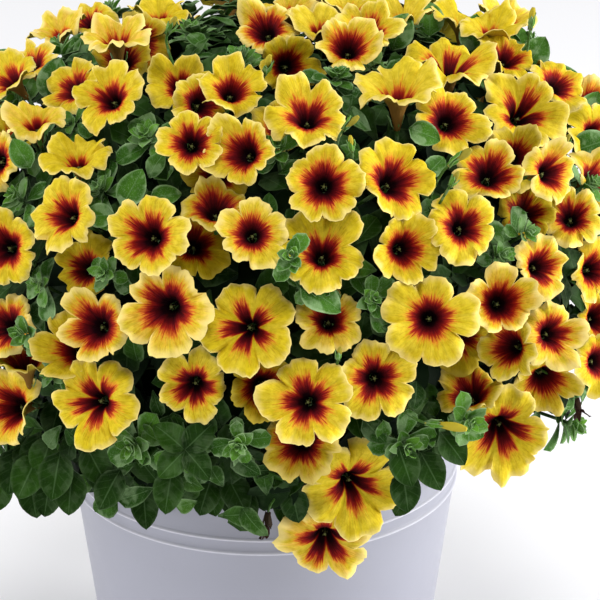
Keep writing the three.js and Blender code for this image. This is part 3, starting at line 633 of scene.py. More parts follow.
@dataclass(frozen=True)
class PetalFinish:
    """Yellow petals with a dark red throat, paler rims and duller backs, and painted shade on the blooms set
    back in the crown.
    """

    yellow: Colour = (0.66, 0.505, 0.010)
    warm: Colour = (0.72, 0.44, 0.02)
    pale: Colour = (0.78, 0.62, 0.06)
    cream: Colour = (0.94, 0.76, 0.26)
    orange: Colour = (0.70, 0.20, 0.02)
    red: Colour = (0.36, 0.016, 0.008)
    maroon: Colour = (0.11, 0.003, 0.006)
    night: Colour = (0.011, 0.001, 0.003)
    peach: Colour = (0.80, 0.42, 0.08)
    back: Colour = (0.50, 0.40, 0.03)
    flush: Colour = (0.17, 0.06, 0.02)
    heart: Colour = (0.11, 0.12, 0.035)
    # Tint of the painted shade on blooms set back in the crown
    shade: Colour = (0.56, 0.53, 0.18)

    def make(self) -> Material:
        """Make the material."""
        shader = Shader("petal")
        spread, ray = shader.measure("spread"), shader.measure("ray")
        rim, star = shader.measure("rim"), shader.measure("star")
        tone, back = shader.measure("tone"), shader.measure("back")
        streak = shader.place("streak")
        fine = shader.noise(streak, 19.0, 4.0, 0.65)
        hair = shader.noise(streak, 27.0, 2.0, 0.5)
        broad = shader.noise(streak, 4.5, 2.0)
        suture = ray.step(0.45, 1.0)
        reach = (0.5 + tone * 0.1 - suture * (0.06 + star * 0.28)) * shader.measure("blotch")
        fringe = (fine - 0.5) * 0.5 + (broad - 0.5) * 0.34
        depth = (spread + fringe * spread.step(0.1, 0.5)) / reach
        throat = shader.ramp(
            depth * 0.5,
            [
                (0.17, self.night), (0.29, self.maroon), (0.40, self.red), (0.48, self.orange),
                (0.54, self.warm), (0.66, self.yellow),
            ],
        )
        fade = (broad.step(0.35, 0.65) * 0.35 + tone * 0.65) * depth.step(0.95, 1.5)
        face = shader.mix(fade, throat, self.pale)
        ripe = tone.step(0.45, 0.95) * broad.step(0.4, 0.62) * depth.step(0.9, 1.3)
        face = shader.mix(ripe * 0.5, face, self.peach)
        lines = 1 - hair.step(0.5, 0.64) * (0.5 - depth.step(1.1, 1.9) * 0.25) * depth.step(0.9, 1.2)
        face = shader.tint(face, shader.mix(lines, (0.62, 0.45, 0.15), WHITE))
        rib = 1 - ray.step(0.0, 0.09)
        face = shader.mix(rib * 0.35 * depth.step(0.9, 1.2), face, self.back)
        edge = (rim + (broad - 0.5) * 0.3 + (tone - 0.5) * 0.14).step(0.78, 1.03)
        mottle = shader.noise(shader.position(), 230.0, 4.0, 0.62).step(0.32, 0.68)
        face = shader.tint(face, shader.mix(mottle, (0.86, 0.84, 0.6), (1.08, 1.07, 1.2)))
        face = shader.mix((edge * 0.85).top(rim.step(0.93, 1.0) * 0.95), face, self.cream)
        flush = (1 - (spread + fringe * 0.8).step(0.16, 0.72)) * 0.85
        reverse = shader.mix(flush, self.back, self.flush)
        reverse = shader.tint(reverse, shader.mix(lines, (0.55, 0.42, 0.2), WHITE))
        colour = shader.mix(back, face, reverse)
        # Painted shade: blooms set back in the crown are tinted darker olive
        colour = shader.tint(colour, shader.mix(shader.measure("dim"), WHITE, self.shade))
        colour = shader.mix(shader.measure("heart"), colour, self.heart)
        shader.bump(fine * 0.5 + hair * 0.3 + broad * 0.8 + mottle * 0.3, 0.6, 0.8)
        return shader.finish(Base_Color=colour, Roughness=0.6 + fine * 0.12, Specular_IOR_Level=0.07)


@dataclass(frozen=True)
class LeafFinish:
    """Downy green leaves with lighter veins, brighter when young; painted shade darkens them inside and under
    the plant, and noise patches of painted sheen lighten the down.
    """

    mature: Colour = (0.033, 0.112, 0.010)
    young: Colour = (0.105, 0.270, 0.024)
    shaded: Colour = (0.010, 0.038, 0.0015)
    vein: Colour = (0.17, 0.31, 0.12)
    down: Colour = (0.34, 0.50, 0.25)
    deep: Colour = (0.006, 0.018, 0.005)
    dry: Colour = (0.03, 0.012, 0.009)

    def make(self) -> Material:
        """Make the material."""
        shader = Shader("leaf")
        along, across = shader.measure("along"), abs(shader.measure("across"))
        youth, shade, tone = shader.measure("youth"), shader.measure("shade"), shader.measure("tone")
        place = shader.position()
        mottle = shader.noise(place, 160.0, 3.0)
        speckle = shader.noise(place, 1500.0, 2.0, 0.7)
        green = shader.mix(youth, self.mature, self.young)
        # Painted shade: leaves inside and under the crown turn to the shaded green, with fainter veins
        green = shader.mix(shade.step(0.0, 0.5), green, self.shaded)
        # Painted shade: each leaf darker towards its base, deep in its rosette
        green = shader.tint(green, shader.mix(along.step(0.0, 0.45), (0.5, 0.55, 0.5), WHITE))
        green = shader.tint(green, shader.mix(tone, (0.62, 0.7, 0.6), (1.5, 1.4, 1.2)))
        green = shader.tint(green, shader.mix(mottle.step(0.3, 0.7), (0.78, 0.8, 0.78), (1.12, 1.1, 1.1)))
        side = (along * 34.0 - across * 9.0).sine().step(0.72, 1.0) * across.step(0.03, 0.3)
        rib = 1 - across.step(0.01, 0.08)
        veins = (rib * 0.8).top(side * 0.22) * (1 - shade.step(0.2, 0.7) * 0.75)
        green = shader.mix(veins * 0.42, green, self.vein)
        # Light down: speckled hairs and paler margins, plus noise patches of painted sheen; leaves in painted
        # shade get little of it
        patches = shader.noise(place, 120.0, 2.0).step(0.48, 0.62)
        down_and_sheen = speckle.step(0.54, 0.7) * 0.28 + across.step(0.74, 1.0) * 0.4 + patches * 0.4
        green = shader.mix(down_and_sheen * (1 - shade.step(0.1, 0.45) * 0.86), green, self.down)
        # Painted deep shade for the innermost leaves and the inner wedge
        green = shader.mix(shade.step(0.75, 1.0), green, self.deep)
        green = shader.mix(shader.measure("dry"), green, self.dry)
        shader.bump(speckle * 0.25 + mottle * 0.4 - veins * 0.8, 0.5, 0.5)
        return shader.finish(Base_Color=green, Roughness=0.45 + speckle * 0.2, Specular_IOR_Level=0.07)


@dataclass(frozen=True)
class SoilFinish:
    """Dark peat with paler crumbs."""

    dark: Colour = (0.018, 0.012, 0.008)
    light: Colour = (0.085, 0.055, 0.035)

    def make(self) -> Material:
        """Make the material."""
        shader = Shader("peat")
        place = shader.position()
        crumbs = shader.noise(place, 420.0, 4.0, 0.65)
        patches = shader.noise(place, 60.0, 2.0)
        colour = shader.mix((crumbs * 0.7 + patches * 0.3).step(0.35, 0.7), self.dark, self.light)
        shader.bump(crumbs, 0.9, 1.5)
        return shader.finish(Base_Color=colour, Roughness=0.97, Specular_IOR_Level=0.15)


@dataclass(frozen=True)
class PlasticFinish:
    """White moulded plastic, a little grey and greyed further as painted shade, with faint scuffs and dust,
    and a painted highlight along the ridges' crests.
    """

    # A little grey plastic, its base colour lowered further as painted shade
    white: Colour = (0.36, 0.365, 0.425)
    worn: Colour = (0.31, 0.31, 0.36)
    crest_highlight: Colour = (0.72, 0.72, 0.78)

    def make(self) -> Material:
        """Make the material."""
        shader = Shader("pot_plastic")
        place = shader.position()
        cloud = shader.noise(place, 9.0, 3.0)
        scuff = shader.noise(place, 90.0, 4.0, 0.7)
        worn = cloud.step(0.4, 0.75) * 0.35 + scuff.step(0.62, 0.75) * 0.25
        colour = shader.mix(worn, self.white, self.worn)
        # Painted highlight along the ridges' crests
        colour = shader.mix(shader.measure("crest") * 0.8, colour, self.crest_highlight)
        shader.bump(scuff * 0.3 + cloud, 0.12, 0.4)
        return shader.finish(Base_Color=colour, Roughness=0.36 + scuff * 0.14, Specular_IOR_Level=0.4)


@dataclass(frozen=True)
class FloorFinish:
    """Plain pale studio floor."""

    pale: Colour = (0.82, 0.82, 0.83)

    def make(self) -> Material:
        """Make the material."""
        shader = Shader("studio_floor")
        grain = shader.noise(shader.position(), 30.0, 3.0)
        shader.bump(grain, 0.05, 0.3)
        return shader.finish(Base_Color=self.pale, Roughness=0.85 + grain * 0.05, Specular_IOR_Level=0.1)


@dataclass
class Draft:
    """Gathers the points, faces and measures of one piece, in millimetres."""

    name: str
    measures: tuple[str, ...]
    points: list[Points] = field(default_factory=list)
    streaks: list[Points] = field(default_factory=list)
    faces: dict[int, list[Faces]] = field(default_factory=lambda: {3: [], 4: []})
    values: dict[str, list[np.ndarray]] = field(default_factory=dict)
    count: int = 0

    def add(self, points: Points, *faces: Faces, streak: Points | None = None, **values: object) -> None:
        """Add a patch.

        Args:
            points: Its points, one a row.
            faces: Arrays of triangles or quads, as row numbers of points.
            streak: A vector at each point, for the colours that run along it.
            values: A number, or one for each point, for each measure that isn't 0.
        """
        total = len(points)
        self.points.append(points)
        for array in faces:
            if len(array):
                self.faces[array.shape[1]].append(array + self.count)
        self.streaks.append(np.zeros((total, 3)) if streak is None else streak)
        for name in self.measures:
            value = np.broadcast_to(np.asarray(values.get(name, 0.0), float), (total,))
            self.values.setdefault(name, []).append(value)
        self.count += total

    def shaped(self, material: Material) -> bpy.types.Object:
        """Make an object of the patches in a finish, and link it to the scene."""
        mesh = bpy.data.meshes.new(self.name)
        points = np.concatenate(self.points) * MM
        mesh.vertices.add(len(points))
        mesh.vertices.foreach_set("co", points.astype(np.float32).ravel())
        corners, starts, at = [], [], 0
        for sides, arrays in self.faces.items():
            if not arrays:
                continue
            block = np.concatenate(arrays)
            corners.append(block.ravel())
            starts.append(at + np.arange(len(block)) * sides)
            at += block.size
        mesh.loops.add(at)
        mesh.loops.foreach_set("vertex_index", np.concatenate(corners).astype(np.int32))
        starts = np.concatenate(starts).astype(np.int32)
        mesh.polygons.add(len(starts))
        mesh.polygons.foreach_set("loop_start", starts)
        mesh.update(calc_edges=True)
        mesh.validate()
        for name, arrays in self.values.items():
            attribute = mesh.attributes.new(name, "FLOAT", "POINT")
            attribute.data.foreach_set("value", np.concatenate(arrays).astype(np.float32))
        streak = mesh.attributes.new("streak", "FLOAT_VECTOR", "POINT")
        streak.data.foreach_set("vector", np.concatenate(self.streaks).astype(np.float32).ravel())
        mesh.polygons.foreach_set("use_smooth", np.ones(len(starts), bool))
        mesh.set_sharp_from_angle(angle=math.radians(SMOOTH_ANGLE))
        mesh.materials.append(material)
        return linked(self.name, mesh)

    def build(self, material: Material, slot: Slot, *replaced: str) -> bpy.types.Object:
        """Build the piece.

        Args:
            material: Its finish.
            slot: The record's slot for it; not used.
            replaced: The solids that it stands for.

        Returns:
            The object, riding on the part's one body.
        """
        piece = self.shaped(material)
        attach(piece, BODY)
        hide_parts(*replaced)
        LOG.info("%s: %d faces", piece.name, len(piece.data.polygons))
        return piece


def grid_faces(rows: int, columns: int, wraps: bool = False) -> Faces:
    """Return the quads of a grid of points, its rows' ends joined if it wraps."""
    last = columns if wraps else columns - 1
    row, column = np.meshgrid(np.arange(rows - 1), np.arange(last), indexing="ij")
    beside = (column + 1) % columns
    here, above = row * columns, (row + 1) * columns
    return np.stack([here + column, here + beside, above + beside, above + column], axis=-1).reshape(-1, 4)


def fan(ring: np.ndarray, tip: int) -> Faces:
    """Return the triangles from a closed ring of points to a tip."""
    return np.stack([ring, np.roll(ring, -1), np.full(len(ring), tip)], axis=-1)


def tube(route: Points, radii: np.ndarray, sides: int) -> tuple[Points, Faces, Faces]:
    """Skin a closed tube along a route.

    Args:
        route: The points of its middle line.
        radii: Its radius at each of them.
        sides: Number of sides.

    Returns:
        Its points, quads and end triangles.
    """
    steps = np.gradient(route, axis=0)
    rings = []
    side, lift = square_to(unit(steps[0]))
    for centre, step, radius in zip(route, steps, radii):
        axis = unit(step)
        side = unit(side - axis * float(side @ axis))
        lift = np.cross(axis, side)
        angles = np.arange(sides) * 2 * math.pi / sides
        ring = np.outer(np.cos(angles), side) + np.outer(np.sin(angles), lift)
        rings.append(centre + ring * radius)
    count = len(route) * sides
    points = np.concatenate([*rings, route[:1], route[-1:]])
    first, last = np.arange(sides), np.arange(count - sides, count)
    ends = np.concatenate([fan(first[::-1], count), fan(last, count + 1)])
    return points, grid_faces(len(route), sides, True), ends


def curve(start: Point, bend: Point, end: Point, steps: int) -> Points:
    """Return points on the smooth curve from start to end that leans towards bend."""
    share = np.linspace(0.0, 1.0, steps)[:, None]
    return (1 - share) ** 2 * start + 2 * share * (1 - share) * bend + share**2 * end


@dataclass(frozen=True)
class Leaf:
    """One leaf blade: where it grows, how it lies and how it is shaped."""

    root: Point
    along: Point
    normal: Point
    length: float
    width: float
    shape: LeafShape = LeafShape.OVATE
    arch: float = 0.5
    fold: float = 0.25
    ripple: float = 0.04
    phase: float = 0.0
    rows: int = 7
    columns: int = 5
    thickness: float = 0.45

    def surface(self) -> tuple[Points, np.ndarray, np.ndarray]:
        """Return the upper side's points in rows, and each one's shares along and across."""
        near, far = self.shape.value
        share = np.linspace(0.0, 1.0, self.rows)
        eased = 1 - (1 - share) ** 1.25
        widest = near / (near + far)
        peak = widest**near * (1 - widest) ** far
        half = self.width / 2 * np.maximum(eased**near * (1 - eased) ** far / peak, 0.06 * (1 - share))
        across = np.linspace(-1.0, 1.0, self.columns)
        tangent = np.cross(self.normal, self.along)
        angle = self.arch * eased
        steps = np.diff(eased) * np.array([np.cos(angle[1:]), np.sin(angle[1:])])
        ahead, down = np.cumsum(np.insert(steps, 0, 0.0, axis=1), axis=1) * self.length
        wave = np.sin(eased[:, None] * 9.0 + self.phase + 1.7 * np.sign(across)) * across**2
        rise = self.fold * half[:, None] * np.abs(across) ** 1.3 + self.ripple * self.length * wave
        rise = rise - down[:, None]
        points = (
            self.root
            + ahead[:, None, None] * self.along
            + rise[:, :, None] * self.normal
            + (half[:, None] * across)[:, :, None] * tangent
        )
        along = np.broadcast_to(eased[:, None], points.shape[:2])
        return points, along, np.broadcast_to(across, points.shape[:2])

    def spots(self) -> Points:
        """Return the upper side's points, one a row."""
        return self.surface()[0].reshape(-1, 3)

    def add_to(self, draft: Draft, **values: float) -> None:
        """Add the blade, as a thin closed shell, to a draft."""
        points, along, across = self.surface()
        lower = points - self.normal * self.thickness
        total = self.rows * self.columns
        top = grid_faces(self.rows, self.columns)
        number = np.arange(total).reshape(self.rows, self.columns)
        rim = np.concatenate([number[0, :-1], number[:-1, -1], number[-1, :0:-1], number[:0:-1, 0]])
        beside = np.roll(rim, -1)
        wall = np.stack([beside, rim, rim + total, beside + total], axis=-1)
        draft.add(
            np.concatenate([points.reshape(-1, 3), lower.reshape(-1, 3)]),
            top,
            top[:, ::-1] + total,
            wall,
            along=np.tile(along.ravel(), 2),
            across=np.tile(across.ravel(), 2),
            **values,
        )

    def add_down(self, draft: Draft, seed: int) -> None:
        """Add short hairs, most of them on the blade's edges, to a draft."""
        count, length, root_radius, edge_share = 12, 1.5, 0.13, 0.7
        draw = np.random.default_rng(seed)
        points = self.surface()[0]
        rows = draw.integers(1, self.rows - 1, count)
        is_edge = draw.random(count) < edge_share
        edges, insides = draw.choice([0, self.columns - 1], count), draw.integers(0, self.columns, count)
        feet = points[rows, np.where(is_edge, edges, insides)]
        outward = feet - points[rows, np.full(count, self.columns // 2)]
        heading = outward / np.maximum(np.linalg.norm(outward, axis=1, keepdims=True), 1.0)
        heading = heading + self.normal * 0.7 + draw.uniform(-0.4, 0.4, (count, 3))
        heading /= np.linalg.norm(heading, axis=1, keepdims=True)
        tips = feet + heading * length * draw.uniform(0.6, 1.1, (count, 1))
        side, lift = square_to(self.normal)
        spots = [feet + turned(side, lift, i * 2 * math.pi / 3) * root_radius for i in range(3)]
        everything = np.stack([*spots, tips], axis=1).reshape(-1, 3)
        hair = np.array([[0, 1, 3], [1, 2, 3], [2, 0, 3], [2, 1, 0]])
        faces = (np.arange(count)[:, None, None] * 4 + hair).reshape(-1, 3)
        draft.add(everything, faces, across=1.0, tone=1.0, youth=0.6)


# Rows and columns of points in a near or large leaf, and in a small or hidden one
FINE = {"rows": 7, "columns": 5}
COARSE = {"rows": 5, "columns": 3}
LEAF_MEASURES = ("along", "across", "tone", "youth", "shade", "dry")
PETAL_MEASURES = ("spread", "ray", "rim", "star", "tone", "back", "heart", "dim", "blotch")


# Leaves with their measures
Foliage = list[tuple[Leaf, dict[str, float]]]


@dataclass(frozen=True)
class Columns:
    """The columns of points round a bloom, each with what is drawn for the petal that it belongs to.

    length, lobe, dent: the petal's outline.
    curl, tilt, belly, twist, lap: how it bends.
    phase, wave: its ruffle.
    petal, across, angle: its number, the column's place across it from -1 to 1, and round the bloom.
    left, right: where the petal parts from its neighbours.
    crinkle: how far the column's rim stands up, from -1 to 1.
    """

    length: np.ndarray
    lobe: np.ndarray
    dent: np.ndarray
    curl: np.ndarray
    tilt: np.ndarray
    belly: np.ndarray
    twist: np.ndarray
    phase: np.ndarray
    wave: np.ndarray
    lap: np.ndarray
    petal: np.ndarray
    across: np.ndarray
    angle: np.ndarray
    left: np.ndarray
    right: np.ndarray
    crinkle: np.ndarray

    # Lowest and highest value of the first ten fields
    SPANS = (
        (0.86, 1.10), (1.6, 3.6), (-0.06, 0.08),
        (-0.25, 1.1), (-0.28, 0.36), (-0.42, 0.16), (-0.17, 0.17), (0.0, 6.28), (5.0, 9.0), (0.02, 0.1),
    )

    @classmethod
    def drawn(cls, draw: random.Random, petals: int, steps: int, turn: float, notch: float) -> "Columns":
        """Draw a bloom's columns, so many steps a petal, from its turn in radians and its usual notch."""
        petal, step = np.divmod(np.arange(petals * steps), steps)
        across = step / steps * 2 - 1
        across = np.sin(across * math.pi / 2) * 0.25 + across * 0.75
        angle = turn + (petal + across / 2) * 2 * math.pi / petals
        values = [np.array([draw.uniform(*span) for _ in range(petals)])[petal] for span in cls.SPANS]
        notches = np.array([draw.uniform(notch - 0.18, notch + 0.04) for _ in range(petals)])
        crinkle = np.array([draw.uniform(-1.0, 1.0) for _ in petal])
        return cls(*values, petal, across, angle, notches[petal], notches[(petal + 1) % petals], crinkle)

    @property
    def middle(self) -> np.ndarray:
        """How near each column is to its petal's middle."""
        return 1 - np.abs(self.across) ** 2

    @property
    def outline(self) -> np.ndarray:
        """How far each column reaches: lobes between the notches, dented and ragged."""
        base = self.left + (self.right - self.left) * (self.across + 1) / 2
        lobes = (1 - np.abs(self.across) ** self.lobe) ** 0.55
        ragged = 0.016 * np.sin(self.angle * 23 + self.phase)
        ragged = ragged + 0.013 * np.sin(self.angle * 41 + 2 * self.phase)
        ragged = ragged + 0.03 * np.sin(self.across * self.wave * 0.8 + 2 * self.phase)
        dent = self.dent * np.exp(-((self.across / 0.2) ** 2))
        return base + (self.length - base) * lobes - dent + ragged * lobes

    def rise(self, spread: np.ndarray, height: np.ndarray, cup: float, hinge: float, side: int) -> np.ndarray:
        """Return how high each point stands, on a funnel whose petals begin at the hinge.

        Args:
            spread: How far out it is.
            height: The funnel's height there.
            cup: How far the petals stand forward.
            hinge: How far out the petals begin.
            side: 1 or -1, for which of its neighbours each petal laps over.
        """
        across, blade = self.across, smooth(0.25, 1.0, spread)
        suture = -0.06 * np.exp(-(((1 - np.abs(across)) / 0.16) ** 2)) * smooth(0.12, 0.5, spread)
        midrib = -0.035 * np.exp(-((across / 0.14) ** 2)) * smooth(0.2, 0.5, spread) * (1 - 0.4 * blade)
        terms = (
            cup * np.clip(spread - 0.22, 0.0, None) * 1.1,
            self.tilt * self.middle * (spread - hinge).clip(0.0),
            self.belly * (across**2 - 0.3) * blade,
            self.twist * np.sin(across * math.pi) * blade,
            self.lap * side * across * smooth(0.42, 0.95, spread),
            suture,
            midrib,
            0.068 * np.sin(across * self.wave + self.phase) * smooth(0.5, 1.05, spread),
            0.018 * np.sin(self.angle * 11 + spread * 8 + self.phase) * smooth(0.3, 0.7, spread),
            0.036 * self.crinkle * smooth(0.72, 1.02, spread),
        )
        return sum(terms, height)

    def curled(self, spread: np.ndarray, rise: np.ndarray, curls: dict[int, float]) -> tuple:
        """Return how far out and how high each point is once the petals' tips are rolled back.

        Args:
            spread: How far out it was.
            rise: How high it stood.
            curls: Turn of the tips of the petals that don't keep their drawn one.
        """
        start = 0.45
        curl = self.curl.copy()
        for petal, value in curls.items():
            curl[self.petal == petal] = value
        bend = curl * np.sqrt(np.clip(self.middle, 0.0, 1.0))
        past = np.clip(spread - start, 0.0, None)
        rate = np.where(np.abs(bend) < 1e-4, 1e-4, bend) / np.maximum(self.outline - start, 0.05)
        out = np.where(past > 0, start + np.sin(rate * past) / rate, spread)
        return out, rise - np.where(past > 0, (1 - np.cos(rate * past)) / rate, 0.0)


@dataclass(frozen=True)
class Bloom:
    """One bloom: five joined petals on a funnel, its tube, calyx and place.

    Lengths are shares of its radius unless they say mm.
    """

    centre: Point
    facing: Point
    radius: float
    turn: float
    number: int
    style: BloomStyle
    is_far: bool = False
    # How much painted shade the bloom gets, from 0 to 1
    dim: float = 0.0
    notch: float = 0.76
    calyx_depth: float = 1.0
    thickness_mm: float = 0.4
    petals: int = 5

    # Shares of the radius outwards, and the heights there, from the tube's foot to the petals' rim
    FUNNEL = (
        (0.05, -0.98), (0.08, -0.82), (0.115, -0.64), (0.16, -0.48), (0.22, -0.36), (0.30, -0.26),
        (0.39, -0.19), (0.50, -0.13), (0.62, -0.08), (0.74, -0.04), (0.85, -0.012), (0.94, 0.0),
        (1.0, -0.02),
    )
    # How far out the petals begin, how deep the pistil's head is, and the number of columns in a petal
    HINGE, HEAD = 0.3, 0.42
    NEAR_STEPS, FAR_STEPS = 16, 9

    @property
    def calyx(self) -> Point:
        """The point where the tube stands in its calyx."""
        return self.centre - self.facing * self.radius * self.calyx_depth

    def face(self) -> tuple[Points, np.ndarray, Columns]:
        """Return the petals' rings of points, how far out each one is, and their columns."""
        steps = self.FAR_STEPS if self.is_far else self.NEAR_STEPS
        draw = seeded(Seed.PETALS, self.number)
        columns = Columns.drawn(draw, self.petals, steps, math.radians(self.turn), self.notch)
        angle = columns.angle
        share, height = np.array(self.FUNNEL).T[:, :, None]
        beyond = np.clip((share - self.HINGE) / (1 - self.HINGE), 0.0, 1.0)
        petals = self.HINGE + (columns.outline - self.HINGE) * beyond
        spread = np.where(share <= self.HINGE, share * np.ones(len(angle)), petals)
        rise = columns.rise(spread, height, self.style.cup, self.HINGE, 1 if self.number % 2 else -1)
        out, rise = columns.curled(spread, rise, dict(self.style.curls))
        out, rise = out * self.radius, rise * self.radius
        side, lift = square_to(self.facing)
        points = (
            self.centre
            + (out * np.cos(angle))[:, :, None] * side
            + (out * np.sin(angle))[:, :, None] * lift
            + rise[:, :, None] * self.facing
        )
        return points, spread, columns

    def add_petals(self, draft: Draft) -> None:
        """Add the petals and their tube, as a thin closed shell, to a draft."""
        points, spread, petals = self.face()
        rows, columns = spread.shape
        total = rows * columns
        around = np.roll(points, -1, axis=1) - np.roll(points, 1, axis=1)
        normals = np.cross(np.gradient(points, axis=0), around)
        normals /= np.maximum(np.linalg.norm(normals, axis=-1, keepdims=True), 1e-9)
        back = points - normals * self.thickness_mm
        quads = grid_faces(rows, columns, True)
        ring = np.arange(columns)
        rim = ring + (rows - 1) * columns
        wall = np.stack([rim, np.roll(rim, -1), np.roll(rim, -1) + total, rim + total], axis=-1)
        pit = self.centre + self.facing * self.radius * self.FUNNEL[0][1]
        foot = self.calyx - self.facing * self.radius * 0.02
        round_it = [np.tile(turn(petals.angle), rows) for turn in (np.cos, np.sin)]
        streak = np.stack([*round_it, spread.ravel() * 0.22], axis=-1)
        streak = streak + np.array([3.1, 1.7, 2.3]) * self.number
        ray = np.broadcast_to(np.abs(petals.across), spread.shape)
        measures = {"spread": spread, "ray": ray, "rim": np.clip(spread / petals.outline, 0.0, 1.0)}
        draft.add(
            np.concatenate([points.reshape(-1, 3), back.reshape(-1, 3), pit[None], foot[None]]),
            quads[:, ::-1],
            quads + total,
            wall[:, ::-1],
            fan(ring, 2 * total),
            fan(ring[::-1] + total, 2 * total + 1),
            streak=np.concatenate([streak, streak, np.zeros((2, 3))]),
            back=np.concatenate([np.zeros(total), np.ones(total), [0.0, 1.0]]),
            star=self.style.star,
            tone=seeded(Seed.PETAL_TONE, self.number).random(),
            dim=self.dim,
            blotch=self.style.blotch,
            **{name: np.append(np.tile(value.ravel(), 2), [0.0, 0.0]) for name, value in measures.items()},
        )

    def add_heart(self, draft: Draft) -> None:
        """Add the pistil and the anthers round its head to a draft."""
        side, lift = square_to(self.facing)
        head = self.centre - self.facing * self.radius * self.HEAD
        route = np.linspace(self.calyx, head, 4)
        draft.add(*tube(route, np.array([0.5, 0.4, 0.4, 0.9]), 5), heart=1.0)
        for i in range(self.petals):
            direction = turned(side, lift, i * 2 * math.pi / self.petals + self.turn)
            middle = head + direction * 1.4 - self.facing * (0.8 + (i % 2) * 1.8)
            route = np.array([middle - self.facing * 0.8, middle, middle + self.facing * 0.8])
            draft.add(*tube(route, np.array([0.25, 0.5, 0.2]), 5), heart=0.8)

    def add_calyx(self, draft: Draft) -> None:
        """Add the five sepals to a draft."""
        side, lift = square_to(self.facing)
        draw = seeded(Seed.SEPALS, self.number)
        for i in range(self.petals):
            radial = turned(side, lift, math.radians(self.turn) + (i + 0.5) * 2 * math.pi / self.petals)
            along, normal = leaned(self.facing, radial, math.radians(draw.uniform(16, 44)))
            Leaf(
                self.calyx + radial * 0.9, along, normal, draw.uniform(9, 12), draw.uniform(2.6, 3.4),
                LeafShape.SLIM, arch=-0.5, fold=0.2, rows=4, columns=3,
            ).add_to(draft, tone=draw.random(), youth=0.6, shade=0.1)


@dataclass(frozen=True)
class Bud:
    """A bud, or a dried bloom, on its stalk."""

    foot: Point
    heading: Point
    length: float
    kind: BudKind
    number: int

    # Shares of the largest radius along it, and its number of sides
    SPINDLE = (0.3, 0.42, 0.55, 0.72, 0.92, 1.0, 0.86, 0.5)
    SIDES = 10

    def add_to(self, petals: Draft, greens: Draft) -> None:
        """Add the bud to a spray's petals and its calyx to its greens."""
        side, lift = square_to(self.heading)
        draw = seeded(Seed.BUD, self.number)
        is_dry = self.kind is BudKind.DRY
        share = np.linspace(0.0, 1.0, len(self.SPINDLE))
        sway = np.outer(np.sin(share * 3.0 + self.number), side) * ((0.1 if is_dry else 0.04) * self.length)
        route = self.foot + np.outer(share * self.length, self.heading) + sway
        radius = self.length * 0.09 if is_dry else min(self.length * 0.15, 2.6)
        points, quads, ends = tube(route, np.array(self.SPINDLE) * radius, self.SIDES)
        if is_dry:
            points[:-2] += lift * np.array([[draw.uniform(-0.7, 0.7)] for _ in points[:-2]])
            greens.add(points, quads, ends, dry=1.0, tone=0.5, across=0.5)
            self.add_shrivelled(greens, draw)
        else:
            stripe = np.append(np.tile(np.arange(self.SIDES) % 2, len(share)), [0, 0]).astype(float)
            petals.add(
                points, quads, ends, spread=0.95, ray=stripe, back=1.0, tone=0.5, rim=stripe * 0.95,
                heart=(0.75 if self.kind is BudKind.GREEN else 0.15) * 0.6, streak=points * 0.1,
            )
        grown = min(11.0, self.length * 0.8)
        for i in range(5):
            radial = turned(side, lift, (i + 0.5) * 2 * math.pi / 5)
            along, normal = leaned(self.heading, radial, math.radians(draw.uniform(8, 34)))
            Leaf(
                self.foot + radial * 0.8, along, normal, grown * draw.uniform(0.8, 1.1), grown * 0.3,
                LeafShape.SLIM, arch=-0.4, fold=0.25, rows=4, columns=3,
            ).add_to(greens, tone=draw.random(), youth=0.7, shade=0.05, dry=0.97 if is_dry else 0.0)

    def add_shrivelled(self, greens: Draft, draw: random.Random) -> None:
        """Add the three shrivelled petals of a dried bloom to a draft."""
        for turn in (0.3, 2.4, 4.4):
            radial = turned(*square_to(self.heading), turn)
            Leaf(
                self.foot + self.heading * self.length * 0.45, unit(self.heading + radial * 0.35),
                unit(radial - self.heading * 0.3), self.length * 0.75, self.length * 0.3,
                arch=draw.uniform(-1.2, 1.2), ripple=0.09, rows=5,
            ).add_to(greens, dry=1.0, tone=draw.random())


@dataclass
class BloomSpray:
    """A few blooms whose stalks meet in one axil."""

    name: str
    blooms: list[Bloom]
    crown: Crown
    buds: list[Bud] = field(default_factory=list)
    axil_depth: float = 34.0
    stalk_radius: float = 0.85

    @property
    def axil(self) -> Point:
        """The point where the stalks meet."""
        middle = sum((bloom.calyx for bloom in self.blooms), np.zeros(3)) / len(self.blooms)
        hangs = middle[2] < self.crown.hanging_calyx
        inward = UP if hangs else unit(self.crown.heart - middle)
        return middle + inward * self.axil_depth

    def add_stalk(self, greens: Draft, foot: Point, bend: Point, radii: np.ndarray) -> None:
        """Add a stalk to the greens, from a bloom's or bud's foot past a bend to the axil."""
        route = curve(foot, bend, self.axil, len(radii))
        greens.add(*tube(route, radii, 6), tone=0.5, youth=0.7, shade=0.2, across=0.5)

    def build(self, petal: Material, leaf: Material) -> None:
        """Build the petals and the green parts."""
        petals = Draft(f"{self.name}_petals", PETAL_MEASURES)
        greens = Draft(f"{self.name}_stalks", LEAF_MEASURES)
        for bloom in self.blooms:
            bloom.add_petals(petals)
            if not bloom.is_far:
                bloom.add_heart(petals)
            bloom.add_calyx(greens)
            behind = bloom.calyx - bloom.facing * min(14.0, self.axil_depth / 2)
            radii = np.linspace(self.stalk_radius * 1.5, self.stalk_radius, 7)
            self.add_stalk(greens, bloom.calyx, behind, radii)
        for bud in self.buds:
            bud.add_to(petals, greens)
            self.add_stalk(greens, bud.foot, bud.foot - bud.heading * 10.0, np.full(7, 0.8))
        petals.build(petal, Slot.PETALS, self.name)
        greens.build(leaf, Slot.LEAVES, self.name)


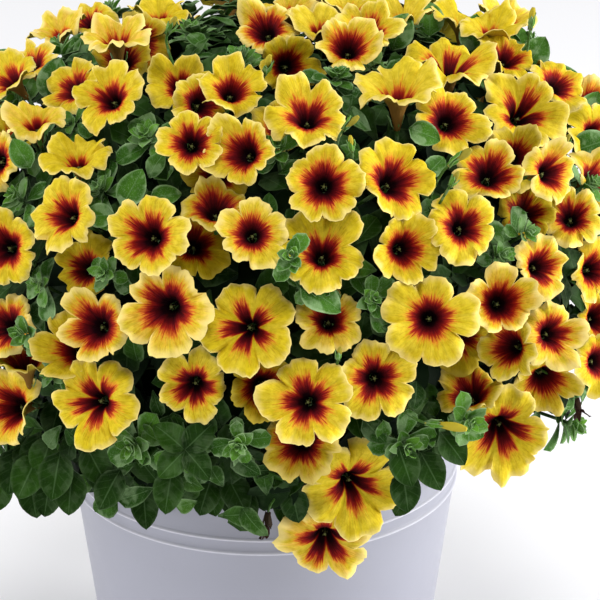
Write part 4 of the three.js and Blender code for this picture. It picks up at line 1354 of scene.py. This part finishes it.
@dataclass
class BloomField:
    """All the blooms, for keeping leaves out of their petals.

    The shares are of a bloom's radius: how far out a leaf hides it, touches its face or is in its tube,
    how deep its dish is in the middle, and how steeply that ends.
    """

    blooms: list[Bloom]
    hiding_share: float = 0.82
    face_share: float = 1.02
    tube_share: float = 0.22
    dish_share: float = 0.3
    dish_slope: float = 1.6

    def __post_init__(self) -> None:
        """Gather the blooms' places into arrays."""
        self.centres = np.array([bloom.centre for bloom in self.blooms])
        self.facings = np.array([bloom.facing for bloom in self.blooms])
        self.radii = np.array([bloom.radius for bloom in self.blooms])
        self.seen = np.array([not bloom.is_far for bloom in self.blooms])

    def hidden_by(self, points: Points, view: View) -> bool:
        """Say whether points stand before a bloom in the picture."""
        sights = (self.centres - view.eye)[self.seen]
        distances = np.linalg.norm(sights, axis=1)
        offsets = points - view.eye
        along = offsets @ (sights / distances[:, None]).T
        aside = np.sqrt(np.maximum((offsets**2).sum(-1)[:, None] - along**2, 0.0))
        is_before = along < distances - 3.0
        return bool((is_before & (aside < self.hiding_share * self.radii[self.seen])).any())

    def clear(self, points: Points, behind: float, before: float) -> bool:
        """Say whether points stay out of every bloom.

        Args:
            points: The points.
            behind: How far behind a bloom's face is kept free.
            before: How far before it.

        Returns:
            Whether none of them is near a face, or in a tube.
        """
        offsets = points[:, None, :] - self.centres
        height = (offsets * self.facings).sum(-1)
        out = np.sqrt(np.maximum((offsets**2).sum(-1) - height**2, 0.0)) / self.radii
        dish = -self.dish_share * self.radii * np.clip(1 - out * self.dish_slope, 0.0, 1.0)
        near_face = (out < self.face_share) & (height > dish - behind) & (height < dish + before)
        in_tube = (out < self.tube_share) & (height < 0) & (height > -self.radii)
        return not bool((near_face | in_tube).any())


@dataclass(frozen=True)
class Shoot:
    """A shoot's rosette of leaves: its root, axis and turn."""

    root: Point
    axis: Point
    turn: float
    number: int

    PAIRS = (
        # length, width, opening in degrees, height up the axis
        (22.0, 14.0, 84.0, 0.0),
        (19.0, 12.5, 74.0, 1.5),
        (14.0, 9.0, 65.0, 4.0),
        (12.5, 8.0, 57.0, 6.5),
        (11.0, 7.0, 49.0, 9.0),
        (9.5, 6.0, 41.0, 11.0),
        (8.0, 5.0, 32.0, 13.0),
        (6.5, 4.0, 23.0, 14.5),
        (5.0, 3.0, 12.0, 16.0),
    )
    # The number of lowest pairs that stay at the foot of a shoot that stands out, that are spoon-shaped,
    # and that are finely meshed
    LOW_PAIRS, SPOON_PAIRS, FINE_PAIRS = 2, 3, 4
    # The heights' scale, the steps by which a shoot stands out, and what a millimetre of it costs in leaf
    HEIGHT = 0.72
    RISES = (0.0, 4.0, 8.0, 12.0, 16.0)
    RISE_COST = 42

    def leaves(self, rise: float, blooms: BloomField) -> list[tuple[Leaf, float]]:
        """Shape the leaves that stay clear of the petals.

        Args:
            rise: How far the rosette stands above its root, in millimetres.
            blooms: The blooms to keep clear of.

        Returns:
            Each leaf with its youth.
        """
        side, lift = square_to(self.axis)
        draw = seeded(Seed.ROSETTE, self.number)
        size = draw.uniform(0.88, 1.12)
        found = []
        for level, (length, width, opening, height) in enumerate(self.PAIRS):
            for half in range(2):
                angle = self.turn + level * math.radians(90 + draw.uniform(-12, 12)) + half * math.pi
                radial = turned(side, lift, angle)
                along, normal = leaned(self.axis, radial, math.radians(opening + draw.uniform(-8, 8)))
                grown = size * draw.uniform(0.88, 1.1)
                risen = rise if level >= self.LOW_PAIRS else 0.0
                root = self.root + self.axis * (height * size * self.HEIGHT + risen) + radial * 0.8
                arch = draw.uniform(0.15, 0.6) - (0.0 if level < self.SPOON_PAIRS else 0.25)
                fold, ripple, phase = draw.uniform(0.2, 0.45), draw.uniform(0.0, 0.03), draw.uniform(0, 6)
                youth = max(0.0, min(1.0, level / 7 + draw.uniform(-0.1, 0.1)))
                for shrink in (1.0, 0.8, 0.62):
                    leaf = Leaf(
                        root, along, normal, length * grown * shrink, width * grown * shrink,
                        LeafShape.SPOON if level < self.SPOON_PAIRS else LeafShape.OVATE,
                        arch=arch, fold=fold, ripple=ripple, phase=phase,
                        **(FINE if level < self.FINE_PAIRS else COARSE),
                    )
                    if blooms.clear(leaf.spots(), behind=4.0, before=3.5):
                        found.append((leaf, youth))
                        break
        return found

    def risen(self, blooms: BloomField) -> float:
        """Find how far the rosette has to stand out for most of its leaves to be clear."""
        best, best_score = 0.0, -1.0
        for rise in self.RISES:
            area = sum(leaf.length * leaf.width for leaf, _ in self.leaves(rise, blooms))
            score = area - rise * self.RISE_COST
            if score > best_score:
                best, best_score = rise, score
        return best

    def add_to(self, draft: Draft, blooms: BloomField) -> float:
        """Add the rosette's leaves to a draft and return how far it stands out."""
        rise = self.risen(blooms)
        draw = seeded(Seed.ROSETTE_TONES, self.number)
        for leaf, youth in self.leaves(rise, blooms):
            leaf.add_to(draft, tone=draw.random(), youth=youth, shade=0.0)
            leaf.add_down(draft, draw.randrange(10**6))
        return rise


@dataclass
class LeafyStem:
    """One of the stems: its trunk, branches, shoots, inner growth in painted shade and the leaves over the
    pot's rim.
    """

    number: int
    crown: Crown
    count: int = 12
    foot_ring: float = 58.0
    soil_top: float = 195.0
    hole_depth: float = 27.7

    # Ring and height of the trunk's upper points, and its radii from the foot up
    BEND = ((68.0, 232.0), (84.0, 268.0))
    RADII = (2.4, 2.4, 2.8, 3.2)
    # Ring and height of the inner growth's outline, from the top down, and its points along each ring
    CORE = (
        (30.0, 396.0), (66.0, 388.0), (108.0, 356.0), (122.0, 308.0),
        (108.0, 258.0), (84.0, 226.0), (30.0, 218.0),
    )
    CORE_POINTS = 7

    @property
    def name(self) -> str:
        """The solid's name."""
        return f"leafy_stem_{self.number + 1:02d}"

    @property
    def angle(self) -> float:
        """The stem's angle round the pot's axis."""
        return 2 * math.pi * (self.number + 0.5) / self.count

    def trunk(self) -> Points:
        """Return the trunk's middle line."""
        ring = self.foot_ring
        spots = ((ring, self.soil_top - self.hole_depth), (ring, self.soil_top + 4.0), *self.BEND)
        return np.array([ring_point(self.angle, *spot) for spot in spots])

    def grown_from(self, target: Point) -> Point:
        """Return the trunk's point that a branch to the target leaves."""
        trunk = self.trunk()
        low, span = 225.0, 60.0
        share = min(1.0, max(0.0, (float(target[2]) - low) / span))
        return trunk[2] + (trunk[3] - trunk[2]) * share

    def add_branch(self, draft: Draft, target: Point, radius: float = 1.25) -> None:
        """Add a branch from the trunk to a target."""
        start = self.grown_from(target)
        route = curve(start, (start + target) / 2 + UP * 8.0, target, 8)
        radii = np.linspace(radius * 1.3, radius * 0.8, 8)
        draft.add(*tube(route, radii, 6), tone=0.4, youth=0.4, shade=0.35, across=0.5)

    def add_core(self, draft: Draft) -> None:
        """Add the dense inner growth: a lumpy wedge in painted deep shade, which the leaves stand out of."""
        draw = seeded(Seed.CORE, self.number)
        half = math.pi / self.count * 0.985
        rows = []
        for ring, z in self.CORE:
            for i in range(self.CORE_POINTS):
                angle = self.angle + half * (2 * i / (self.CORE_POINTS - 1) - 1)
                lump = 0 if i in (0, self.CORE_POINTS - 1) else 1
                out, up = lump * draw.uniform(-5, 5), lump * draw.uniform(-3, 3)
                rows.append(ring_point(angle, ring + out, z + up))
            rows.append(ring_point(self.angle, 5.0, z))
        columns = self.CORE_POINTS + 1
        total = len(rows)
        ring = np.arange(columns)
        ends = np.array([np.mean(rows[:columns], 0), np.mean(rows[-columns:], 0)])
        # shade=1 gives the wedge the deepest painted shade
        draft.add(
            np.concatenate([rows, ends]), grid_faces(len(self.CORE), columns, True)[:, ::-1],
            fan(ring, total), fan(ring[::-1] + total - columns, total + 1), shade=1.0, across=0.5,
        )

    def sector_has(self, point: Point) -> bool:
        """Say whether a point is in this stem's wedge."""
        angle = math.atan2(point[1], point[0]) + 2 * math.pi
        return int(angle / (2 * math.pi) * self.count) % self.count == self.number


@dataclass(frozen=True)
class Layer:
    """Leaves behind the blooms at one depth of the crown.

    depths, lengths: the lowest and highest, in millimetres.
    before: how far before a bloom's face they are left out.
    """

    count: int
    turn: float
    depths: tuple[float, float]
    lengths: tuple[float, float]
    shade: float
    before: float = 6.0
    grid: dict[str, int] = field(default_factory=lambda: COARSE)


@dataclass(frozen=True)
class SkirtRow:
    """A ring of leaves that hang over the pot's rim, in millimetres and degrees."""

    ring: float
    z: float
    count: int
    down: float
    length: float


@dataclass
class Thicket:
    """The leaves that fill the crown behind the blooms, and those that hang over the pot's rim.

    lowest: least height of a layer's directions, as a share.
    rim_z, rim_ring: the pot's mouth, which stays free.
    low_z, low_before: below this height more room is left before the blooms.
    skirt_slope: rise of each further row of the skirt towards +X, its fall on the other side.
    right_hem: lowest height of the leaves' tips well outside the pot towards +X.
    """

    view: View
    crown: Crown
    blooms: BloomField
    lowest: float = -0.45
    rim_z: float = 236.0
    rim_ring: float = 138.0
    low_z: float = 262.0
    low_before: float = 34.0
    skirt_slope: float = 4.5
    right_hem: float = 236.0
    right_ring: float = 142.0

    LAYERS = (
        Layer(1500, 0.3, (-17.0, -6.0), (15.0, 23.0), 0.25, 20.0, FINE),
        Layer(1350, 2.9, (-30.0, -14.0), (20.0, 28.0), 0.4),
        Layer(1500, 1.3, (-58.0, -24.0), (22.0, 32.0), 0.62),
        Layer(1050, 0.7, (-88.0, -46.0), (38.0, 52.0), 0.8),
    )
    ROWS = (
        SkirtRow(128.0, 217.0, 44, 58.0, 29.0),
        SkirtRow(139.0, 225.0, 52, 50.0, 31.0),
        SkirtRow(152.0, 236.0, 56, 46.0, 31.0),
        SkirtRow(165.0, 249.0, 56, 42.0, 30.0),
        SkirtRow(177.0, 264.0, 56, 34.0, 28.0),
        SkirtRow(186.0, 281.0, 54, 24.0, 25.0),
    )

    def hangs_right(self, leaf: Leaf) -> bool:
        """Say whether a leaf hangs well outside the pot towards +X, where the crown ends higher."""
        spots = leaf.spots()
        ring = np.hypot(spots[:, 0], spots[:, 1])
        is_right = spots[:, 0] > 0.2 * ring
        return bool((is_right & (ring > self.right_ring) & (spots[:, 2] < self.right_hem)).any())

    def is_stray(self, leaf: Leaf, behind: float, before: float) -> bool:
        """Say whether a leaf is left out: it crosses or hides a bloom, or hangs too low."""
        spots = leaf.spots()
        is_clear = self.blooms.clear(spots, behind, before)
        return self.hangs_right(leaf) or not is_clear or self.blooms.hidden_by(spots, self.view)

    def fillers(self) -> Foliage:
        """Place leaves in several depths behind the blooms."""
        draw = seeded(Seed.FILLERS)
        found = []
        for layer in self.LAYERS:
            for direction in spread_directions(layer.count, layer.turn):
                if direction[2] < self.lowest:
                    continue
                depth = draw.uniform(*layer.depths)
                root = self.crown.towards(direction, depth)
                if root[2] < self.rim_z and math.hypot(root[0], root[1]) < self.rim_ring:
                    continue
                outward = unit(root - self.crown.heart)
                angle = draw.uniform(0, 2 * math.pi)
                lean = math.radians(draw.uniform(38, 82))
                along, normal = leaned(outward, turned(*square_to(outward), angle), lean)
                length = draw.uniform(*layer.lengths)
                leaf = Leaf(
                    root, along, normal, length, length * draw.uniform(0.55, 0.72),
                    LeafShape.SPOON if draw.random() < 0.6 else LeafShape.OVATE,
                    arch=draw.uniform(0.1, 0.8), fold=draw.uniform(0.1, 0.4), phase=draw.uniform(0, 6),
                    **layer.grid,
                )
                youth = draw.random() ** 3 * 0.6
                tone = draw.random()
                before = self.low_before if root[2] < self.low_z else layer.before
                if not self.is_stray(leaf, behind=4.0, before=before):
                    # Painted shade, deeper the farther inside the crown the leaf is
                    dark = min(1.0, layer.shade + (-depth - 6.0) / 80.0)
                    found.append((leaf, {"tone": tone, "youth": youth, "shade": dark}))
        return found

    def skirt(self) -> Foliage:
        """Place the larger leaves that hang over the pot's rim in overlapping rows."""
        draw = seeded(Seed.SKIRT)
        found = []
        for number, row in enumerate(self.ROWS):
            shift = float(self.crown.x * smooth(215.0, 290.0, np.array(row.z)))
            for i in range(row.count):
                angle = 2 * math.pi * (i + 0.5 * (number % 2)) / row.count + draw.uniform(-0.05, 0.05)
                heading = ring_point(angle + draw.uniform(-0.6, 0.6), 1.0, 0.0)
                along, normal = leaned(heading, -UP, math.radians(row.down + draw.uniform(-18, 18)))
                tangent = unit(np.cross(along, normal))
                roll = draw.uniform(-0.45, 0.45)
                raised = row.z + draw.uniform(-5, 6) + self.skirt_slope * number * math.cos(angle)
                foot = ring_point(angle, 1.0, 0.0) * (row.ring - 14 + draw.uniform(-6, 6))
                grown = row.length * draw.uniform(0.82, 1.15)
                leaf = Leaf(
                    foot + np.array([shift, 0.0, raised]), along, turned(normal, tangent, roll),
                    grown, grown * draw.uniform(0.6, 0.74), arch=draw.uniform(0.1, 0.7),
                    fold=draw.uniform(0.02, 0.3), phase=draw.uniform(0, 6), rows=9,
                )
                bright = draw.random()
                if not self.is_stray(leaf, behind=3.0, before=45.0):
                    # Painted shade under the crown's overhang
                    dark = 0.42 + 0.22 * draw.random()
                    found.append((leaf, {"tone": bright, "youth": 0.2 * bright, "shade": dark}))
        return found


@dataclass
class Plant:
    """The whole plant: its blooms, shoots and stems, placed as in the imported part."""

    view: View
    crown: Crown
    seed: int = 7
    far_points: int = 190
    far_bloom_gap: float = 53.0
    far_shoot_gap: float = 30.0
    far_shoot_spacing: float = 90.0
    far_lowest: float = -0.2
    far_diameter: float = 52.0
    far_reach: float = 105.0
    far_size: int = 4
    shoot_depth: float = 9.0
    shoot_sink: float = 11.0
    # Blooms that face up more than this show little of their throats
    upward: float = 0.72
    # Leaves below this place in the picture are in the shade
    low_y: float = 430.0
    # Smallest and largest bloom that the picture shows, in mm
    diameters: tuple[float, float] = (42.0, 60.0)
    # How far the petals of one bloom after the other stand forward
    cups: tuple[float, ...] = (0.0, 0.12, 0.26, 0.05, 0.18, 0.36, 0.02)

    def seen_bloom(self, entry: list[float], number: int) -> Bloom:
        """Place a bloom of the picture."""
        x, y, width, right, up, lift = entry
        centre = self.crown.seen_at(self.view, x, y, lift)
        straight = math.sqrt(max(0.0, 1 - right * right - up * up))
        facing = unit(-self.view.forward * straight + self.view.right * right + self.view.up * up)
        measured = width * self.view.picture_of(centre)[2] / self.view.focal
        smallest, largest = self.diameters
        diameter = min(largest, max(smallest, measured))
        cup = self.cups[number % len(self.cups)]
        curls = ((number % 5, 1.5), ((number + 2) % 5, 1.1)) if number % 3 == 1 else ()
        usual = BloomStyle(0.25 if number % 3 else 0.0, 0.88 + 0.05 * (number % 5), cup, curls)
        if up > self.upward:
            usual = BloomStyle(0.3, 0.6, 0.2, curls)
        style = STYLES.get((x, y), usual)
        # Painted shade, deeper the farther the bloom sits back in the crown
        dim = min(1.0, max(0.0, (-lift - 2.0) / 12.0))
        return Bloom(centre, facing, diameter / 2, (x * 7 + y * 3) % 360, number, style, False, dim)

    def heading_at(self, degrees: float, towards: float) -> Point:
        """Return the direction of a heading in the picture that partly points at the viewer."""
        flat = turned(self.view.right, self.view.up, math.radians(degrees))
        return unit(flat * math.sqrt(1 - towards * towards) - self.view.forward * towards)

    def add_buds(self, sprays: list[BloomSpray]) -> None:
        """Give each bud to the spray whose axil is nearest."""
        for number, (x, y, degrees, towards, length, kind) in enumerate(BUDS):
            heading = self.heading_at(degrees, towards)
            foot = self.crown.seen_at(self.view, x, y, 12.0)
            spray = min(sprays, key=lambda other: float(np.linalg.norm(other.axil - foot)))
            spray.buds.append(Bud(foot, heading, length, kind, number))

    def single_leaves(self) -> Foliage:
        """Place the single leaves that the picture shows."""
        draw = seeded(Seed.SINGLE_LEAVES)
        found = []
        for x, y, degrees, lift, length, width in SINGLE_LEAVES:
            along = self.heading_at(degrees, draw.uniform(0.05, 0.3))
            tangent = unit(np.cross(-self.view.forward + self.view.up * draw.uniform(0.0, 0.5), along))
            leaf = Leaf(
                self.crown.seen_at(self.view, x, y, lift), along, np.cross(along, tangent), length, width,
                arch=draw.uniform(0.3, 0.8), fold=draw.uniform(0.1, 0.35), phase=draw.uniform(0, 6), rows=9,
            )
            youth, shade = (0.1, 0.46) if y > self.low_y else (0.2, 0.05)
            found.append((leaf, {"tone": draw.random(), "youth": youth, "shade": shade}))
        return found

    def in_picture(self, point: Point) -> bool:
        """Say whether the picture shows this point of the crown."""
        outward = unit(point - self.crown.heart)
        x, y, _ = self.view.picture_of(point)
        is_across = -25 < x < self.view.size + 25
        return float(outward @ -self.view.forward) > 0.16 and is_across and y < self.view.size

    def far_places(self, turn: float) -> Iterator[tuple[Point, Point]]:
        """Yield directions with the crown's points there, all of them out of the picture."""
        for direction in spread_directions(self.far_points, turn):
            place = self.crown.towards(direction)
            if direction[2] >= self.far_lowest and not self.in_picture(place):
                yield direction, place

    def far_blooms(self, seen: list[Bloom], numbers: Iterator[float]) -> list[Bloom]:
        """Place the blooms that the picture doesn't show."""
        found: list[Bloom] = []
        for direction, centre in self.far_places(0.4):
            if not apart(centre, [bloom.centre for bloom in [*seen, *found]], self.far_bloom_gap):
                continue
            lean = np.array([next(numbers) - 0.5, next(numbers) - 0.5, next(numbers) * 0.6])
            facing = unit(direction + lean * 0.5)
            radius = self.far_diameter * (1 + 0.12 * (next(numbers) - 0.5)) / 2
            number = len(seen) + len(found)
            style = BloomStyle(star=0.9 if number % 4 == 0 else 0.2)
            found.append(Bloom(centre, facing, radius, 360 * next(numbers), number, style, True))
        return found

    def shoot_at(self, root: Point, turn: float, number: int) -> Shoot:
        """Make a shoot that grows away from the heart, its root sunk where it grows upwards."""
        axis = unit(root - self.crown.heart)
        sunk = self.shoot_sink * max(0.0, float(axis @ self.view.up))
        return Shoot(root - axis * sunk, axis, turn, number)

    def far_shoots(self, blooms: list[Bloom], seen: list[Shoot], numbers: Iterator[float]) -> list[Shoot]:
        """Place the shoots that the picture doesn't show."""
        found: list[Shoot] = []
        centres = [bloom.centre for bloom in blooms]
        for direction, place in self.far_places(2.1):
            roots = [shoot.root for shoot in [*seen, *found]]
            if apart(place, centres, self.far_shoot_gap) and apart(place, roots, self.far_shoot_spacing):
                root = place - direction * self.shoot_depth
                found.append(self.shoot_at(root, 2 * math.pi * next(numbers), len(seen) + len(found)))
        return found

    def far_sprays(self, blooms: list[Bloom]) -> list[list[Bloom]]:
        """Gather far blooms in sprays: each one that is left takes its nearest ones within reach."""
        left, groups = list(blooms), []
        while left:
            first, others = left[0], left[1:]

            def distance(bloom: Bloom) -> float:
                """Return a bloom's distance from the first one."""
                return float(np.linalg.norm(bloom.centre - first.centre))

            near = sorted((bloom for bloom in others if distance(bloom) < self.far_reach), key=distance)
            near = near[: self.far_size - 1]
            groups.append([first, *near])
            left = [bloom for bloom in others if all(bloom is not other for other in near)]
        return groups

    def build(self, petal: Material, leaf: Material) -> None:
        """Build every spray and stem."""
        numbers = seeded_numbers(self.seed)
        seen, groups = [], []
        for entries in SPRAYS:
            group = [self.seen_bloom(entry, len(seen) + i) for i, entry in enumerate(entries)]
            seen += group
            groups.append(group)
        far = self.far_blooms(seen, numbers)
        groups += self.far_sprays(far)
        seen_shoots = []
        for x, y in SHOOTS:
            root = self.crown.seen_at(self.view, x, y, -self.shoot_depth)
            seen_shoots.append(self.shoot_at(root, math.radians((x * 5 + y * 11) % 180), len(seen_shoots)))
        shoots = seen_shoots + self.far_shoots([*seen, *far], seen_shoots, numbers)
        sprays = [BloomSpray(f"bloom_spray_{i:02d}", group, self.crown) for i, group in enumerate(groups, 1)]
        self.add_buds(sprays[: len(SPRAYS)])
        for spray in sprays:
            spray.build(petal, leaf)
        blooms = BloomField([*seen, *far])
        thicket = Thicket(self.view, self.crown, blooms)
        leaves = [*thicket.fillers(), *thicket.skirt(), *self.single_leaves()]
        LOG.info("%d blooms, %d shoots, %d other leaves", len(blooms.blooms), len(shoots), len(leaves))
        for number in range(LeafyStem.count):
            stem = LeafyStem(number, self.crown)
            foliage = Draft(f"{stem.name}_leaves", LEAF_MEASURES)
            wood = Draft(f"{stem.name}_stems", LEAF_MEASURES)
            stem.add_core(foliage)
            wood.add(*tube(stem.trunk(), np.array(stem.RADII), 8), tone=0.4, shade=0.5, across=0.5)
            for spray in sprays:
                if stem.sector_has(spray.axil):
                    stem.add_branch(wood, spray.axil)
            for shoot in shoots:
                if stem.sector_has(shoot.root):
                    rise = shoot.add_to(foliage, blooms)
                    stem.add_branch(wood, shoot.root + shoot.axis * (rise + 6.0))
            for blade, values in leaves:
                if stem.sector_has(blade.root):
                    blade.add_to(foliage, **values)
            foliage.build(leaf, Slot.LEAVES, stem.name)
            wood.build(leaf, Slot.LEAVES, stem.name)


def arc(ring: float, z: float, radius: float, start: float) -> list[tuple[float, float]]:
    """Return four points of a quarter round about a place in a profile, from a start in degrees."""
    turns = [math.radians(start + 30 * i) for i in range(4)]
    return [(ring + radius * math.cos(turn), z + radius * math.sin(turn)) for turn in turns]


@dataclass
class Pot:
    """The round plastic pot with a rolled lip and two thin rings, and the soil in it."""

    height: float = 210.0
    rim_radius: float = 125.0
    base_radius: float = 102.0
    band_radius: float = 123.4
    wall: float = 2.4
    floor: float = 3.0
    lip_depth: float = 7.0
    lip_wall: float = 3.4
    ridges: tuple[float, ...] = (168.0, 177.0)
    ridge_out: float = 1.6
    ridge_half: float = 1.8
    soil_top: float = 195.0
    gap: float = 0.3
    sides: int = 144
    notches: int = 6
    notch_depth: float = 9.0
    notch_half: float = 7.0
    notch_height: float = 8.0

    def outer_at(self, z: float) -> float:
        """Return the outer wall's radius at a height."""
        share = min(1.0, z / self.ridges[0])
        return self.base_radius + (self.band_radius - self.base_radius) * share

    def profile(self) -> list[tuple[float, float]]:
        """Return the wall's outline, from the middle of its foot round to the middle of its floor."""
        base, band, rim = self.base_radius, self.band_radius, self.rim_radius
        low, inner = self.height - self.lip_depth, self.rim_radius - self.lip_wall
        points = [(0.0, 0.0), (base - 3, 0.0), *arc(base - 2, 2.0, 2.0, -90)]
        points += [(self.outer_at(z), z) for z in (40.0, 80.0, 120.0, 150.0)]
        for z in self.ridges:
            for share in np.linspace(-1.0, 1.0, 9):
                out = self.ridge_out * math.cos(share * math.pi / 2) ** 2
                points.append((band + out, z + self.ridge_half * share))
        points += [(band, 190.0), (band, low - 0.8), (band + 0.3, low)]
        points += [(r, low + 1.3) for r, _ in arc(rim - 1.2, 0.0, 1.2, -90)[:3]]
        points += arc(rim - 1.5, self.height - 1.5, 1.5, 0)
        points += [(inner + 0.6, self.height), (inner, self.height - 0.6), (band - self.wall, low)]
        points += [(self.outer_at(z) - self.wall, z) for z in (180.0, 168.0, 120.0, 60.0, self.floor)]
        return [*points, (0.0, self.floor)]

    def lathe(self, draft: Draft, outline: list[tuple[float, float]], shake: float = 0.0) -> None:
        """Turn an outline round the pot's axis and add it to a draft, its ends on the axis."""
        angles = np.arange(self.sides) * 2 * math.pi / self.sides
        rings = np.repeat(np.array(outline[1:-1]), self.sides, axis=0)
        circle = np.tile(np.stack([np.cos(angles), np.sin(angles)], axis=-1), (len(outline) - 2, 1))
        points = np.concatenate([rings[:, :1] * circle, rings[:, 1:]], axis=-1)
        if shake:
            draw = np.random.default_rng(Seed.CRUMBS.value)
            top = points[:, 2] > outline[-1][1] - 1
            points[top, 2] += draw.uniform(-shake, shake, int(top.sum()))
        total = len(points)
        # crest: where the ridges get their painted highlight
        rise = np.abs(points[:, 2][:, None] - np.array(self.ridges)).min(axis=1)
        outside = np.hypot(points[:, 0], points[:, 1]) > self.band_radius + 0.2
        crest = np.append((1 - smooth(0.0, self.ridge_half, rise)) * outside, [0.0, 0.0])
        ends = np.array([[0.0, 0.0, outline[0][1]], [0.0, 0.0, outline[-1][1]]])
        ring = np.arange(self.sides)
        quads = grid_faces(len(outline) - 2, self.sides, True)
        draft.add(
            np.concatenate([points, ends]), quads,
            fan(ring[::-1], total), fan(ring + total - self.sides, total + 1), crest=crest,
        )

    def build(self, plastic: Material, peat: Material) -> None:
        """Build the pot and the soil."""
        shell = Draft("pot_shell", ("crest",))
        self.lathe(shell, self.profile())
        pot = shell.build(plastic, Slot.PLASTIC, "pot")
        self.cut_notches(pot)
        filling = Draft("soil_fill", ("crest",))
        inner = [(0.0, self.floor + self.gap)]
        inner += [(self.outer_at(z) - self.wall - self.gap, z) for z in (self.floor + self.gap, 168.0)]
        inner.append((self.band_radius - self.wall - self.gap, self.soil_top - 2))
        inner += [(ring, self.soil_top) for ring in np.linspace(118.0, 3.0, 24)]
        inner.append((0.0, self.soil_top))
        self.lathe(filling, inner, 1.6)
        filling.build(peat, Slot.SOIL, "soil")

    def cut_notches(self, pot: bpy.types.Object) -> None:
        """Cut the drain notches out of the pot's foot."""
        cutter = Draft("notch_cutter", ("crest",))
        quads = np.array([[3, 2, 1, 0], [4, 5, 6, 7], [0, 1, 5, 4], [1, 2, 6, 5], [2, 3, 7, 6], [3, 0, 4, 7]])
        for i in range(self.notches):
            angle = 2 * math.pi * (i + 0.5) / self.notches
            out, beside = ring_point(angle, 1.0, 0.0), ring_point(angle + math.pi / 2, 1.0, 0.0)
            block = [
                out * (self.base_radius + self.notch_depth * a) + beside * self.notch_half * b
                + UP * self.notch_height * up
                for up in (-1, 1) for a, b in SQUARE
            ]
            cutter.add(np.array(block), quads)
        block = cutter.shaped(pot.data.materials[0])
        cut = pot.modifiers.new("notches", "BOOLEAN")
        cut.operation = "DIFFERENCE"
        cut.solver = "EXACT"
        cut.object = block
        bpy.context.view_layer.update()
        shown = pot.evaluated_get(bpy.context.evaluated_depsgraph_get())
        pot.data = bpy.data.meshes.new_from_object(shown)
        pot.modifiers.clear()
        bpy.data.objects.remove(block)


@dataclass
class Studio:
    """A plain pale floor under plain soft light."""

    sky: float = 0.64
    sky_colour: Colour = (0.98, 0.98, 1.0)
    sun: float = 1.15
    softness: float = 22.0
    sun_place: Point = field(default_factory=lambda: np.array([0.1, -0.82, 1.65]))
    floor_half: float = 8.0
    panel_size: float = 1.2
    aim: Point = field(default_factory=lambda: np.array([0.0, 0.0, 0.2]))

    # Name, place in metres and power of the panels
    PANELS = (("right_light", (2.2, -0.1, 0.9), 52.0), ("left_light", (-2.2, -0.3, 0.9), 22.0))

    def hang(self, data: bpy.types.Light, place: Point, aim: Point) -> None:
        """Hang a light at a place, in metres, and aim it."""
        axis = unit(place - aim)
        linked(data.name, data).matrix_world = matrix_of(*square_to(axis), axis, place)

    def build(self, finish: Material) -> None:
        """Build the floor, the sky and the lights."""
        mesh = bpy.data.meshes.new("floor")
        corners = [(x * self.floor_half, y * self.floor_half, 0.0) for x, y in SQUARE]
        mesh.from_pydata(corners, [], [(0, 1, 2, 3)])
        mesh.materials.append(finish)
        linked("floor", mesh)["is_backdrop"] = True
        world = bpy.data.worlds.new("sky")
        world.use_nodes = True
        background = world.node_tree.nodes["Background"]
        background.inputs["Color"].default_value = (*self.sky_colour, 1.0)
        background.inputs["Strength"].default_value = self.sky
        bpy.context.scene.world = world
        sun = bpy.data.lights.new("sun", "SUN")
        sun.energy = self.sun
        sun.angle = math.radians(self.softness)
        self.hang(sun, self.sun_place, np.zeros(3))
        for name, place, power in self.PANELS:
            panel = bpy.data.lights.new(name, "AREA")
            panel.size = self.panel_size
            panel.energy = power
            self.hang(panel, np.array(place), self.aim)
        bpy.context.scene.view_settings.view_transform = "Standard"


def main() -> None:
    """Build the scene."""
    logging.basicConfig(level=logging.INFO, format="%(message)s")
    view, crown = View(), Crown()
    view.camera()
    Studio().build(FloorFinish().make())
    Pot().build(PlasticFinish().make(), SoilFinish().make())
    Plant(view, crown).build(PetalFinish().make(), LeafFinish().make())
    boxes = {"cad": CAD_BOX, "visual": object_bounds()}
    {name: [list(map(float, corner)) for corner in box] for name, box in boxes.items()}


if __name__ == "__main__":
    main()
